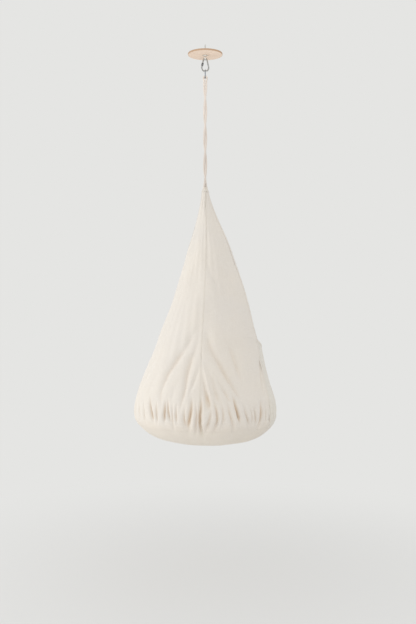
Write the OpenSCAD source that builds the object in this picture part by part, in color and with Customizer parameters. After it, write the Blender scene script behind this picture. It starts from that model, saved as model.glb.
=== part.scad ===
// Hanging pod chair: a gathered cotton cover with a round seat cushion, hung by
// a twisted rope loop, a steel ring and a screw gate carabiner from a ceiling eye.
// Millimetres. The ceiling plane is z = 0 and the chair hangs below it along -Z.

/* [Ceiling disc] */
// Diameter of the wooden disc
disc_d = 200; // [140:1:260]
// Thickness of the wooden disc
disc_t = 10; // [8:0.5:20]
// Rounding of its lower edge
disc_edge_r = 3; // [1:0.5:4]
// Chamfer of its upper edge
disc_chamfer = 1; // [0.5:0.1:2]
// Radius of the hole in the middle of the disc
disc_bore_r = 5; // [5:0.1:7]

/* [Eye bolt] */
// Diameter of the washer under the disc
washer_d = 34; // [26:1:50]
// Thickness of the washer
washer_t = 1.5; // [1:0.1:3]
// Diameter of the collar on the bolt
collar_d = 20; // [16:0.5:24]
// Height of the collar
collar_h = 3; // [2:0.5:6]
// How much narrower the collar is below than above
collar_taper = 2; // [1:0.25:3]
// Wire of the eye
eye_wire = 7; // [5:0.5:9]
// Clear hole of the eye
eye_bore_d = 16; // [13:0.5:24]
// Radius of the plain neck that passes the disc
neck_r = 4.3; // [4.2:0.05:4.4]
// Radius of the part that goes into the ceiling
shank_r = 4; // [3:0.1:4.1]
// Length of that part
shank_len = 50; // [30:1:90]
// Length of the shank's tip
tip_len = 3; // [2:0.5:5]
// Radius of the shank's tip at its end
tip_r = 1.5; // [1:0.1:2.5]

/* [Carabiner] */
// Wire of the carabiner
car_wire = 8; // [6:0.5:9]
// Inside radius of its narrow upper bend
car_top_r = 6.5; // [6:0.25:9]
// Inside radius of its wide lower bend
car_low_r = 16; // [14:0.25:19]
// Distance between the centres of the two bends
car_centres = 43.5; // [40:0.5:60]
// Distance of the gate's pin from the upper bend
gate_pin_drop = 6; // [5.5:0.25:8]
// Radius of the gate's pin
gate_pin_r = 1.25; // [1:0.05:1.5]
// Length of the gate's pin
gate_pin_len = 7.4; // [6:0.1:7.6]
// Thickness of the tongue that the gate turns on
tongue_t = 3; // [2.5:0.1:3.5]
// Bore in the gate for its spring
spring_bore_r = 2; // [1.8:0.05:2.2]
// Depth of that bore below the gate's upper slot
spring_bore_len = 14; // [12:0.5:18]
// Length of the plunger that the spring pushes up
plunger_len = 3; // [2.5:0.25:5]
// Straight wire left below the gate, before the lower bend
nose_len = 3.3; // [2.5:0.1:5]
// Height of the latch blade on the nose
blade_h = 3; // [2.5:0.1:3.5]
// Width of the latch blade
blade_w = 5.6; // [4:0.1:6]
// Thickness of the latch blade
blade_t = 2.4; // [2:0.1:2.8]
// Radius of the cross head on the blade
latch_head_r = 1.1; // [0.9:0.05:1.3]
// Length of the cross head
latch_len = 5; // [4:0.1:5.4]
// Outside diameter of the locking sleeve
sleeve_d = 12.4; // [11.5:0.1:14]
// Length of the locking sleeve
sleeve_len = 17; // [14:0.5:18]
// Flutes round the locking sleeve
sleeve_flutes = 18; // [12:1:24]
// Radius of a flute
flute_r = 0.75; // [0.5:0.05:0.9]
// Depth of a flute
flute_depth = 0.4; // [0.2:0.05:0.6]
// Plain length left at each end of the sleeve
flute_end = 3; // [1.5:0.5:5]

/* [Ring and rope] */
// Wire of the steel ring
ring_wire = 6; // [5:0.5:8]
// Clear hole of the steel ring
ring_bore_d = 40; // [36:1:60]
// Diameter of the cotton rope
rope_d = 12; // [10:0.5:14]
// Height of the open bight, from the ring's wire to the first turn
bight_h = 41; // [34:1:60]
// Length of the twisted legs
twist_len = 618; // [400:1:900]
// Turns of one leg round the other
twist_turns = 2; // [1:0.5:4]
// Wraps of the stopper knot
knot_wraps = 3; // [2:1:4]
// Radius of the knot's core
knot_core_r = 9.5; // [8:0.5:10]
// How far the knot's middle wraps bulge out
knot_bulge = 4; // [0:0.2:4.4]

/* [Pod] */
// Wire of the ring sewn into the top of the cover
apex_wire = 4; // [3:0.5:5]
// Thickness of the casing round that ring
casing_t = 1.2; // [1:0.1:2]
// Length of the straight upper cone
cone_len = 838; // [600:1:1000]
// Radius at the lower end of the cone
waist_r = 303; // [240:1:340]
// Height of the belly, from the cone down to the widest line
belly_len = 423; // [320:1:500]
// How steeply the belly widens at its upper end
waist_slope = 0.19; // [0.1:0.01:0.34]
// Radius at the widest line
pod_r = 410; // [380:1:480]
// Depth of the bowl below the widest line
bowl_h = 200; // [180:1:260]
// Fullness of the bowl, where 2 is an ellipse
bowl_full = 2.2; // [2:0.05:3]
// Depth of the base seam below the widest line
base_seam_drop = 78; // [50:1:100]
// How far the upper cone stands out on the side of the opening
open_shift = 53; // [0:1:60]
// Length of that stretch, from the top
shift_len = 1116; // [900:1:1200]
// Thickness of the cotton cover
cover_t = 2.4; // [1.6:0.1:4]
// Thickness of the base panel
base_t = 3; // [2:0.1:4]

/* [Opening] */
// Direction of the opening's middle, anticlockwise from +X
open_dir = 30; // [0:1:60]
// Half the angle that the opening takes
open_half = 56; // [45:1:70]
// Angle from the opening's middle to each of the two seams
seam_angle = 124; // [110:1:140]
// Width of the hem round the opening
hem_width = 16; // [10:1:24]
// Thickness of the hem
hem_t = 4.2; // [3:0.1:6]
// Distance from the top to the pouch's rim at the hems
rim_drop = 852; // [700:1:1000]
// How far the rim sags in its middle
rim_sag = 54; // [0:1:90]
// How far the pouch's rim is drawn in between the hems
rim_draw = 28; // [0:1:50]

/* [Folds] */
// Depth of the two long creases beside the near seam
crease_depth = 14; // [0:1:24]
// Width of a crease in degrees
crease_deg = 5; // [4:0.5:8]
// How high the creases start above the waist
crease_rise = 50; // [0:1:120]
// How far below the widest line they end
crease_drop = 10; // [0:1:40]
// How far the gathers stand out
gather_h = 8; // [0:0.5:12]
// Length of the gathers, up from the base seam
gather_len = 172; // [100:1:240]
// Gathers round the pod
gather_count = 24; // [12:1:30]

/* [Tapes and straps] */
// Width of the tape inside each seam
tape_width = 25; // [16:1:30]
// Thickness of the tapes and straps
tape_t = 1.5; // [1:0.1:2.5]
// Width of the straps under the seat
strap_width = 30; // [20:1:50]

/* [Cushion] */
// Height of the cushion's crown above the widest line
crown_h = 100; // [60:1:160]
// Fullness of the crown, where 2 is an ellipse
crown_full = 2.5; // [2:0.05:3.5]
// Thickness of the cushion's cover
ticking_t = 1.5; // [1:0.1:3]
// Radius of the piping round the cushion
piping_r = 3; // [2:0.25:4]
// How far the seam draws the cushion in
pinch = 8; // [6:0.5:9]
// Height over which it draws the cushion in
pinch_h = 16; // [12:0.5:24]

/* [Hidden] */

// Clearance between parts that move on each other, between layers of cloth, at the base seam and on the
// gate's pin
run_gap = 0.3;
cloth_gap = 0.6;
seam_gap = 0.6;
pin_gap = 0.05;
// Clearance beside the tongue, under the gate, round the bolt's neck, beside the blade, over the latch
// and in the spring's bore, beside and at its ends
tongue_gap = 0.2;
nose_gap = 0.5;
washer_gap = 0.2;
blade_gap = 0.3;
latch_gap = 0.7;
bore_gap = 0.4;
seat_gap = 0.15;
// Wall left outside the latch, wall of the spring and overlap of pieces that are made as one
gate_wall = 1;
spring_wall = 0.6;
weld_len = 0.5;
// Length that a cutter stands past what it cuts
past = 1;

// Levels of the chain of fittings, from the ceiling down
collar_z = -disc_t - washer_t;
eye_sink = 4;
eye_mean_r = (eye_bore_d + eye_wire) / 2;
eye_z = collar_z - collar_h - eye_bore_d / 2 - eye_wire + eye_sink;
eye_low_z = eye_z - eye_mean_r;
car_top_mean = car_top_r + car_wire / 2;
car_low_mean = car_low_r + car_wire / 2;
car_top_z = eye_low_z + eye_wire / 2 + run_gap + car_wire / 2 - car_top_mean;
car_low_z = car_top_z - car_centres;
car_seat_z = car_low_z - car_low_mean;
ring_mean_r = (ring_bore_d + ring_wire) / 2;
ring_z = car_seat_z + car_wire / 2 + run_gap + ring_wire / 2 - ring_mean_r;
ring_low_z = ring_z - ring_mean_r;
bight_r = ring_wire / 2 + run_gap + rope_d / 2;
leg_gap = 0.4;
leg_r = (rope_d + leg_gap) / 2;
twist_z = ring_low_z - bight_h;
twist_end_z = twist_z - twist_len;

// The carabiner's straight legs lean outwards because the lower bend is wider
leg_tilt = asin((car_low_mean - car_top_mean) / car_centres);
leg_len = car_centres * cos(leg_tilt);
leg_x = car_top_mean * cos(leg_tilt);
leg_z = car_top_z + car_top_mean * sin(leg_tilt);
car_r = car_wire / 2;
// The straight wire is a hair thinner than the bends and runs a little into them
leg_wire_r = car_r - 0.02;
gate_low = leg_len - nose_len - nose_gap;
tongue_round = car_r - tongue_gap;
latch_z = -leg_len + nose_len + blade_h - latch_head_r;
spring_low_z = -gate_pin_drop - car_r - spring_bore_len;
plunger_low_z = -gate_pin_drop - tongue_round - run_gap - plunger_len;

// The cover's top: a ring in a casing, just wide enough for the two rope legs to turn in it
apex_mean_r = leg_r + rope_d / 2 + cloth_gap + casing_t + run_gap + apex_wire / 2;
casing_r = apex_wire / 2 + run_gap + casing_t;
apex_z = twist_end_z + run_gap + casing_r;
top_z = apex_z - casing_r - run_gap;
top_r = apex_mean_r + casing_r;

// The pod's levels
waist_z = top_z - cone_len;
wide_z = waist_z - belly_len;
bottom_z = wide_z - bowl_h;
rim_z = top_z - rim_drop;
base_seam_z = wide_z - base_seam_drop;
base_seam_psi = asin(pow(base_seam_drop / bowl_h, bowl_full / 2));
near_edge = open_dir - open_half;
far_edge = open_dir + open_half;
near_seam = open_dir - seam_angle;
far_seam = open_dir + seam_angle;
tape_deg_max = 10;
hem_deg_max = 12;
cone_rows = 9;
belly_rows = 7;
under_rows = 4;

// Two long creases fan out from one point on the near seam: start and end angle from
// the seam, and how early they spread
crease_top_z = waist_z + crease_rise;
crease_low_z = wide_z - crease_drop;
creases = [[-1, -37, 2.2], [0, 37, 1.3]];

function mix(a, b, t) = a + (b - a) * t;
function clamp01(t) = min(max(t, 0), 1);
function ease(t) = let(u = clamp01(t)) u * u * (3 - 2 * u);
function bezier(p, t) =
    pow(1 - t, 3) * p[0] + 3 * pow(1 - t, 2) * t * p[1] + 3 * (1 - t) * t * t * p[2] + pow(t, 3) * p[3];

// Points [radius, z] of the pod's outline: a cone, a belly and a full bowl. The pulls say how far
// the belly keeps its direction at its upper and its lower end, as shares of its height.
waist_pull = 0.357;
wide_pull = 0.217;
belly_curve = [
    [waist_r, waist_z],
    [waist_r + waist_slope * waist_pull * belly_len, waist_z - waist_pull * belly_len],
    [pod_r, wide_z + wide_pull * belly_len],
    [pod_r, wide_z]
];
function bowl(psi, r, h, full) =
    [psi > 89.99 ? 0 : r * pow(cos(psi), 2 / full), wide_z - h * pow(sin(psi), 2 / full)];
cover_outline = concat(
    [for (i = [0:cone_rows]) [mix(top_r, waist_r, i / cone_rows), mix(top_z, waist_z, i / cone_rows)]],
    [for (i = [1:belly_rows]) bezier(belly_curve, i / belly_rows)],
    [for (i = [1:under_rows]) bowl(base_seam_psi * i / under_rows, pod_r, bowl_h, bowl_full)]
);

// Unit normal, pointing outwards, at point i of an outline that runs downwards
function normal_at(line, i) =
    let(
        a = line[max(i - 1, 0)],
        b = line[min(i + 1, len(line) - 1)],
        d = b - a
    ) [-d[1], d[0]] / norm(d);
seam_normal = normal_at([for (k = [-1:1]) bowl(base_seam_psi + k, pod_r, bowl_h, bowl_full)], 1);
cover_normals = [for (i = [0:len(cover_outline) - 1])
    i == len(cover_outline) - 1 ? seam_normal : normal_at(cover_outline, i)];

// The upper cone stands out on the side of the opening
shift_rise = 1.05;
function shift_at(z) =
    let(s = clamp01((top_z - z) / shift_len)) open_shift * sin(180 * pow(s, shift_rise));

// Height of the folds at an angle and a level: long creases and gathers over the base seam
function crease_at(th, z, c) =
    let(
        s = clamp01((crease_top_z - z) / (crease_top_z - crease_low_z)),
        a = near_seam + mix(c[0], c[1], 1 - pow(1 - s, c[2])),
        u = (th - a) / crease_deg
    ) -crease_depth * sin(180 * s) * exp(-u * u);
function gather_at(th, z) =
    let(
        s = clamp01((z - base_seam_z) / gather_len)
    ) gather_h * pow(sin(180 * s), 2) * (1 - cos(gather_count * (th - near_seam))) / 2;
function fold_at(th, z) = crease_at(th, z, creases[0]) + crease_at(th, z, creases[1]) + gather_at(th, z);

// Point of the cover at an angle, on row i, moved outwards by off
function pod_point(th, row, n, off, draw = 0) =
    let(
        z = row[1],
        f = fold_at(th, z) + off,
        r = row[0] + shift_at(z) * cos(th - open_dir) - draw + f * n[0]
    ) [r * cos(th), r * sin(th), z + f * n[1]];

// Angle that a width takes at a level, at most most_deg where the cover is bunched
function width_deg(w, row, most_deg) = min(w / row[0] * 180 / PI, most_deg);

// Faces of a closed shell from an outer and an inner grid of rows by columns points
function grid_faces(rows, columns) =
    let(
        inner = rows * columns,
        at = function(i, j) i * columns + j
    ) concat(
        [for (i = [0:rows - 2], j = [0:columns - 2], k = [0:1])
            k == 0 ? [at(i, j), at(i, j + 1), at(i + 1, j + 1)]
                : [at(i, j), at(i + 1, j + 1), at(i + 1, j)]],
        [for (i = [0:rows - 2], j = [0:columns - 2], k = [0:1])
            k == 0 ? [inner + at(i, j), inner + at(i + 1, j + 1), inner + at(i, j + 1)]
                : [inner + at(i, j), inner + at(i + 1, j), inner + at(i + 1, j + 1)]],
        [for (i = [0:rows - 2], k = [0:1])
            k == 0 ? [at(i, 0), at(i + 1, 0), inner + at(i + 1, 0)]
                : [at(i, 0), inner + at(i + 1, 0), inner + at(i, 0)]],
        [for (i = [0:rows - 2], k = [0:1])
            let(e = columns - 1)
            k == 0 ? [at(i, e), inner + at(i + 1, e), at(i + 1, e)]
                : [at(i, e), inner + at(i, e), inner + at(i + 1, e)]],
        [for (j = [0:columns - 2], k = [0:1])
            k == 0 ? [at(0, j), inner + at(0, j + 1), at(0, j + 1)]
                : [at(0, j), inner + at(0, j), inner + at(0, j + 1)]],
        [for (j = [0:columns - 2], k = [0:1])
            let(e = rows - 1)
            k == 0 ? [at(e, j), at(e, j + 1), inner + at(e, j + 1)]
                : [at(e, j), inner + at(e, j + 1), inner + at(e, j)]]
    );
module shell(outer, inner) {
    rows = len(outer);
    columns = len(outer[0]);
    points = concat([for (row = outer) each row], [for (row = inner) each row]);
    polyhedron(points = points, faces = grid_faces(rows, columns), convexity = 8);
}

// Angles of a panel's columns on a row: its edge by the seam, the tape's edge, then even steps
function panel_angles(row, seam, edge, way, columns) =
    let(
        first = seam + way * width_deg(tape_width / 2, row, tape_deg_max),
        last = edge - way * width_deg(hem_width, row, hem_deg_max)
    ) concat([seam], [for (j = [0:columns]) mix(first, last, j / columns)]);
module cover_panel(angles, thick) {
    layer = function(off) [for (i = [0:len(cover_outline) - 1])
        [for (th = angles(cover_outline[i])) pod_point(th, cover_outline[i], cover_normals[i], off)]];
    shell(layer(0), layer(-thick));
}

// Ceiling fittings
module ceiling_disc() {
    color("burlywood")
    rotate_extrude($fn = 96) {
        difference() {
            union() {
                translate([disc_bore_r, -disc_t])
                    square([disc_d / 2 - disc_edge_r - disc_bore_r, disc_t]);
                translate([disc_bore_r, -disc_t + disc_edge_r])
                    square([disc_d / 2 - disc_bore_r, disc_t - disc_edge_r]);
                translate([disc_d / 2 - disc_edge_r, -disc_t + disc_edge_r])
                    circle(disc_edge_r, $fn = 48);
            }
            translate([disc_d / 2, 0])
                rotate(45)
                    square(disc_chamfer * sqrt(2), center = true);
        }
    }
}
module eye_washer() {
    color("silver")
    translate([0, 0, -disc_t - washer_t])
        difference() {
            cylinder(h = washer_t, d = washer_d, $fn = 64);
            translate([0, 0, -past])
                cylinder(h = washer_t + 2 * past, r = neck_r + washer_gap, $fn = 48);
        }
}
module eye_bolt() {
    neck_top = -nose_gap;
    color("silver")
    union() {
        translate([0, 0, eye_z])
            rotate([0, 90, 0])
                rotate_extrude($fn = 64)
                    translate([eye_mean_r, 0])
                        circle(eye_wire / 2, $fn = 32);
        translate([0, 0, collar_z - collar_h])
            cylinder(h = collar_h, r1 = collar_d / 2 - collar_taper, r2 = collar_d / 2, $fn = 64);
        translate([0, 0, collar_z])
            cylinder(h = neck_top - collar_z, r = neck_r, $fn = 48);
        translate([0, 0, neck_top])
            cylinder(h = shank_len, r = shank_r, $fn = 48);
        translate([0, 0, neck_top + shank_len])
            cylinder(h = tip_len, r1 = shank_r, r2 = tip_r, $fn = 48);
    }
}

// Carabiner. The gate's leg is on the left, with its local z along the leg and 0 at the upper bend
module on_gate_leg() {
    translate([-leg_x, 0, leg_z])
        rotate([0, leg_tilt, 0])
            children();
}
module bend(z, r, from_deg, sweep) {
    translate([0, 0, z])
        rotate([90, 0, 0])
            rotate([0, 0, from_deg])
                rotate_extrude(angle = sweep, $fn = 96)
                    translate([r, 0])
                        circle(car_r, $fn = 32);
}
module carabiner_body() {
    color("gray")
    union() {
        bend(car_top_z, car_top_mean, leg_tilt, 180 - 2 * leg_tilt);
        bend(car_low_z, car_low_mean, 180 - leg_tilt, 180 + 2 * leg_tilt);
        mirror([1, 0, 0])
            on_gate_leg()
                translate([0, 0, -leg_len - weld_len])
                    cylinder(h = leg_len + 2 * weld_len, r = leg_wire_r, $fn = 32);
        on_gate_leg()
            gate_seat();
        on_gate_leg()
            nose();
    }
}
// End of the wire that the gate turns on: a flat tongue with a round end and a bore for the pin
module gate_seat() {
    difference() {
        union() {
            difference() {
                translate([0, 0, -gate_pin_drop])
                    cylinder(h = gate_pin_drop + weld_len, r = leg_wire_r, $fn = 32);
                translate([0, 0, -gate_pin_drop])
                    rotate([90, 0, 0])
                        cylinder(h = car_wire + past, r = car_r + nose_gap, center = true, $fn = 48);
            }
            translate([0, 0, -gate_pin_drop])
                rotate([90, 0, 0])
                    cylinder(h = tongue_t, r = tongue_round, center = true, $fn = 48);
            translate([-tongue_round + weld_len, -tongue_t / 2, -gate_pin_drop])
                cube([2 * (tongue_round - weld_len), tongue_t, gate_pin_drop - weld_len]);
        }
        translate([0, 0, -gate_pin_drop])
            rotate([90, 0, 0])
                cylinder(h = car_wire + past, r = gate_pin_r + pin_gap, center = true, $fn = 32);
    }
}
// Free end of the wire: a blade with a cross head that the gate's end closes over
module nose() {
    union() {
        translate([0, 0, -leg_len - weld_len])
            cylinder(h = nose_len + weld_len, r = leg_wire_r, $fn = 32);
        translate([-blade_w / 2, -blade_t / 2, -leg_len + nose_len - weld_len])
            cube([blade_w, blade_t, latch_z + leg_len - nose_len + weld_len]);
        translate([0, 0, latch_z])
            rotate([90, 0, 0])
                cylinder(h = latch_len, r = latch_head_r, center = true, $fn = 32);
    }
}
module gate_pin() {
    color("dimgray")
    on_gate_leg()
        translate([0, 0, -gate_pin_drop])
            rotate([90, 0, 0])
                cylinder(h = gate_pin_len, r = gate_pin_r, center = true, $fn = 32);
}
module carabiner_gate() {
    slot_w = tongue_t + 2 * tongue_gap;
    latch_w = blade_t + 2 * blade_gap;
    latch_slot = 2 * (latch_head_r + latch_gap);
    color("lightgray")
    on_gate_leg()
        difference() {
            union() {
                translate([0, 0, -gate_low])
                    cylinder(h = gate_low - gate_pin_drop, r = car_r, $fn = 32);
                intersection() {
                    translate([0, 0, -gate_pin_drop - weld_len])
                        cylinder(h = car_r + past, r = car_r, $fn = 32);
                    translate([0, 0, -gate_pin_drop])
                        rotate([90, 0, 0])
                            cylinder(h = car_wire + past, r = car_r + tongue_gap, center = true, $fn = 48);
                }
            }
            translate([-car_wire, -slot_w / 2, -gate_pin_drop - car_r - past / 10])
                cube([2 * car_wire, slot_w, 2 * car_wire]);
            translate([0, 0, -gate_pin_drop])
                rotate([90, 0, 0])
                    cylinder(h = car_wire + past, r = gate_pin_r + pin_gap, center = true, $fn = 32);
            translate([0, 0, spring_low_z])
                cylinder(h = spring_bore_len + car_r, r = spring_bore_r, $fn = 32);
            translate([-car_wire, -latch_w / 2, -gate_low - past])
                cube([2 * car_wire, latch_w, latch_z + gate_low + past + latch_slot / 2]);
            translate([-car_wire, -car_r + gate_wall, latch_z - latch_slot / 2])
                cube([car_wire + latch_slot / 2, 2 * (car_r - gate_wall), latch_slot]);
        }
}
// Inside the gate a spring pushes a plunger against the tongue
module gate_plunger() {
    color("silver")
    on_gate_leg()
        translate([0, 0, plunger_low_z])
            cylinder(h = plunger_len, r = spring_bore_r - bore_gap, $fn = 32);
}
module gate_spring() {
    spring_len = plunger_low_z - spring_low_z - 2 * seat_gap;
    spring_r = spring_bore_r - bore_gap;
    color("darkgray")
    on_gate_leg()
        translate([0, 0, spring_low_z + seat_gap])
            difference() {
                cylinder(h = spring_len, r = spring_r, $fn = 32);
                translate([0, 0, -past])
                    cylinder(h = spring_len + 2 * past, r = spring_r - spring_wall, $fn = 32);
            }
}
module lock_sleeve() {
    low = gate_low - blade_h - nose_gap;
    chamfer = flute_end / 3;
    color("dimgray")
    on_gate_leg()
        translate([0, 0, -low])
            difference() {
                union() {
                    cylinder(h = chamfer, r1 = sleeve_d / 2 - chamfer, r2 = sleeve_d / 2, $fn = 64);
                    translate([0, 0, chamfer])
                        cylinder(h = sleeve_len - 2 * chamfer, r = sleeve_d / 2, $fn = 64);
                    translate([0, 0, sleeve_len - chamfer])
                        cylinder(h = chamfer, r1 = sleeve_d / 2, r2 = sleeve_d / 2 - chamfer, $fn = 64);
                }
                translate([0, 0, -past])
                    cylinder(h = sleeve_len + 2 * past, r = car_r + run_gap, $fn = 48);
                for (i = [0:sleeve_flutes - 1])
                    rotate([0, 0, i * 360 / sleeve_flutes])
                        translate([sleeve_d / 2 + flute_r - flute_depth, 0, flute_end])
                            cylinder(h = sleeve_len - 2 * flute_end, r = flute_r, $fn = 16);
            }
}

// Ring and rope
module steel_ring() {
    color("slategray")
    translate([0, 0, ring_z])
        rotate([0, 90, 0])
            rotate_extrude($fn = 96)
                translate([ring_mean_r, 0])
                    circle(ring_wire / 2, $fn = 32);
}
// A tube through rings of points that share one number of sides
rope_sides = 12;
function tube_faces(rings, sides) = concat(
    [for (i = [0:rings - 2], j = [0:sides - 1], k = [0:1])
        let(a = i * sides + j, b = i * sides + (j + 1) % sides)
        k == 0 ? [a, b, b + sides] : [a, b + sides, a + sides]],
    [for (j = [1:sides - 2]) [0, j + 1, j]],
    [for (j = [1:sides - 2]) let(e = (rings - 1) * sides) [e, e + j, e + j + 1]]
);
module tube(rings) {
    polyhedron(
        points = [for (ring = rings) each ring],
        faces = tube_faces(len(rings), len(rings[0])),
        convexity = 6
    );
}
// The bight goes up from the first turn, over the ring's wire and down again, in the XZ plane.
// A step of its path is [x, z, direction in degrees].
bight_steps = 6;
arch_steps = 12;
upwards = 90;
function bight_side(t) = [mix(leg_r, bight_r, ease(t)), mix(twist_z, ring_low_z, t), upwards];
bight_path = concat(
    [for (i = [0:bight_steps - 1]) bight_side(i / bight_steps)],
    [for (i = [0:arch_steps]) let(a = 180 * i / arch_steps)
        [bight_r * cos(a), ring_low_z + bight_r * sin(a), upwards + a]],
    [for (i = [bight_steps - 1:-1:0]) let(p = bight_side(i / bight_steps)) [-p[0], p[1], upwards + 180]]
);
function bight_ring(p) = [for (j = [0:rope_sides - 1])
    let(
        a = 360 * j / rope_sides,
        side = rope_d / 2 * cos(a),
        y = rope_d / 2 * sin(a)
    ) [p[0] + side * sin(p[2]), y, p[1] - side * cos(p[2])]];
module rope_bight() {
    color("bisque")
    tube([for (p = bight_path) bight_ring(p)]);
}
twist_rings = 28;
function twist_leg(side) = [for (i = [0:twist_rings])
    let(
        t = i / twist_rings,
        a = side - 360 * twist_turns * t,
        x = leg_r * cos(a),
        y = leg_r * sin(a),
        z = twist_z - twist_len * t
    ) [for (j = [0:rope_sides - 1])
        let(b = -360 * j / rope_sides)
        [x + rope_d / 2 * cos(b), y + rope_d / 2 * sin(b), z]]];
module rope_twist() {
    color("wheat") {
        tube(twist_leg(0));
        tube(twist_leg(180));
    }
}
// Stopper knot under the apex ring: a core of two legs with three wraps round it
module rope_knot() {
    wrap = rope_d - leg_gap;
    knot_top = twist_end_z - run_gap;
    color("wheat")
    rotate_extrude($fn = 64) {
        translate([0, knot_top - knot_wraps * wrap])
            square([knot_core_r, knot_wraps * wrap]);
        for (i = [0:knot_wraps - 1])
            translate([knot_core_r + knot_bulge * sin(180 * i / (knot_wraps - 1)), knot_top - (i + 0.5) * wrap])
                circle(rope_d / 2, $fn = 32);
    }
}

// Cover
module apex_ring() {
    color("silver")
    translate([0, 0, apex_z])
        rotate_extrude($fn = 96)
            translate([apex_mean_r, 0])
                circle(apex_wire / 2, $fn = 32);
}
module apex_casing() {
    color("linen")
    translate([0, 0, apex_z])
        rotate_extrude($fn = 96)
            translate([apex_mean_r, 0])
                difference() {
                    circle(casing_r, $fn = 32);
                    circle(apex_wire / 2 + run_gap, $fn = 32);
                }
}
module back_panel() {
    back_span = 360 - 2 * seam_angle;
    color("linen")
    cover_panel(function(row)
        let(
            tape = width_deg(tape_width / 2, row, tape_deg_max),
            a = near_seam - tape,
            b = near_seam - back_span + tape
        ) concat([near_seam - back_span], [for (j = [0:26]) mix(b, a, j / 26)], [near_seam]),
        cover_t);
}
module near_side_panel() {
    color("linen")
    cover_panel(function(row) panel_angles(row, near_seam, near_edge, 1, 14), cover_t);
}
module far_side_panel() {
    color("linen")
    cover_panel(function(row)
        let(list = panel_angles(row, far_seam, far_edge, -1, 12))
        [for (j = [len(list) - 1:-1:0]) list[j]],
        cover_t);
}
module near_hem() {
    color("antiquewhite")
    cover_panel(function(row) [near_edge - width_deg(hem_width, row, hem_deg_max), near_edge], hem_t);
}
module far_hem() {
    color("antiquewhite")
    cover_panel(function(row) [far_edge, far_edge + width_deg(hem_width, row, hem_deg_max)], hem_t);
}

// The pouch closes the opening below its rim. Its rows run from the rim to the base seam, and it is
// drawn in over the upper share of them.
rim_flat = 3;
function rim_at(th) =
    let(u = (th - near_edge) / (far_edge - near_edge)) rim_z - rim_sag * (1 - pow(abs(2 * u - 1), rim_flat));
function outline_at(z) =
    z > waist_z
        ? let(t = (top_z - z) / cone_len) [mix(top_r, waist_r, t), z]
        : z > wide_z
        ? let(t = search_belly(z, 0, 1, 14)) bezier(belly_curve, t)
        : bowl(asin(pow(clamp01((wide_z - z) / bowl_h), bowl_full / 2)), pod_r, bowl_h, bowl_full);
function search_belly(z, low, high, n) =
    n == 0 ? (low + high) / 2
        : let(mid = (low + high) / 2)
            bezier(belly_curve, mid)[1] > z ? search_belly(z, mid, high, n - 1) : search_belly(z, low, mid, n - 1);
slope_step = 4;
function slope_normal(z) =
    z < base_seam_z + run_gap ? seam_normal
        : let(d = outline_at(z - slope_step) - outline_at(z + slope_step)) [-d[1], d[0]] / norm(d);
function pouch_point(th, t, off) =
    let(
        u = (th - near_edge) / (far_edge - near_edge),
        z = mix(rim_at(th), base_seam_z, t),
        draw = rim_draw * 4 * u * (1 - u) * (1 - ease(t / draw_share))
    ) pod_point(th, outline_at(z), slope_normal(z), off, draw);
draw_share = 0.67;
pouch_columns = 28;
pouch_rows = 10;
hem_share = hem_width / (rim_z - base_seam_z);
module pouch_shell(t0, t1, rows, thick) {
    layer = function(off) [for (i = [0:rows])
        [for (j = [0:pouch_columns])
            pouch_point(mix(near_edge, far_edge, j / pouch_columns), mix(t0, t1, i / rows), off)]];
    shell(layer(0), layer(-thick));
}
module pouch_panel() {
    color("linen")
    pouch_shell(hem_share, 1, pouch_rows, cover_t);
}
module pouch_hem() {
    color("antiquewhite")
    pouch_shell(0, hem_share, 1, hem_t);
}

// Tapes sewn inside the two seams carry the load from the casing to the base
module seam_tape(seam) {
    layer = function(off) [for (i = [0:len(cover_outline) - 1])
        let(row = cover_outline[i], w = width_deg(tape_width / 2, row, tape_deg_max))
        [for (th = [seam - w, seam, seam + w]) pod_point(th, row, cover_normals[i], off)]];
    shell(layer(-cover_t - cloth_gap), layer(-cover_t - cloth_gap - tape_t));
}
module near_seam_tape() {
    color("ivory")
    seam_tape(near_seam);
}
module far_seam_tape() {
    color("ivory")
    seam_tape(far_seam);
}

// Base bowl and the crossed straps on it. They start a little below the cover's lower edge.
bowl_steps = 16;
bowl_start = asin(pow((base_seam_drop + seam_gap) / bowl_h, bowl_full / 2));
bowl_line = [for (i = [0:bowl_steps])
    bowl(mix(bowl_start, 90, i / bowl_steps), pod_r, bowl_h, bowl_full)];
function bowl_inset(line, t, first) =
    let(last = len(line) - 1)
    [for (i = [0:last]) i == last ? [0, line[i][1] + t] : line[i] - t * (i == 0 ? first : normal_at(line, i))];
module bowl_layer(line, outer, inner) {
    a = bowl_inset(line, outer, seam_normal);
    b = bowl_inset(line, inner, seam_normal);
    rotate_extrude($fn = 96)
        polygon(concat(a, [for (i = [len(b) - 1:-1:0]) b[i]]));
}
module base_panel() {
    color("tan")
    bowl_layer(bowl_line, 0, base_t);
}
module base_straps() {
    color("ivory")
    intersection() {
        bowl_layer(bowl_line, base_t + run_gap, base_t + run_gap + tape_t);
        union() {
            for (a = [near_seam, far_seam])
                rotate([0, 0, a])
                    translate([-pod_r, -strap_width / 2, bottom_z])
                        cube([2 * pod_r, strap_width, bowl_h]);
        }
    }
}

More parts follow.
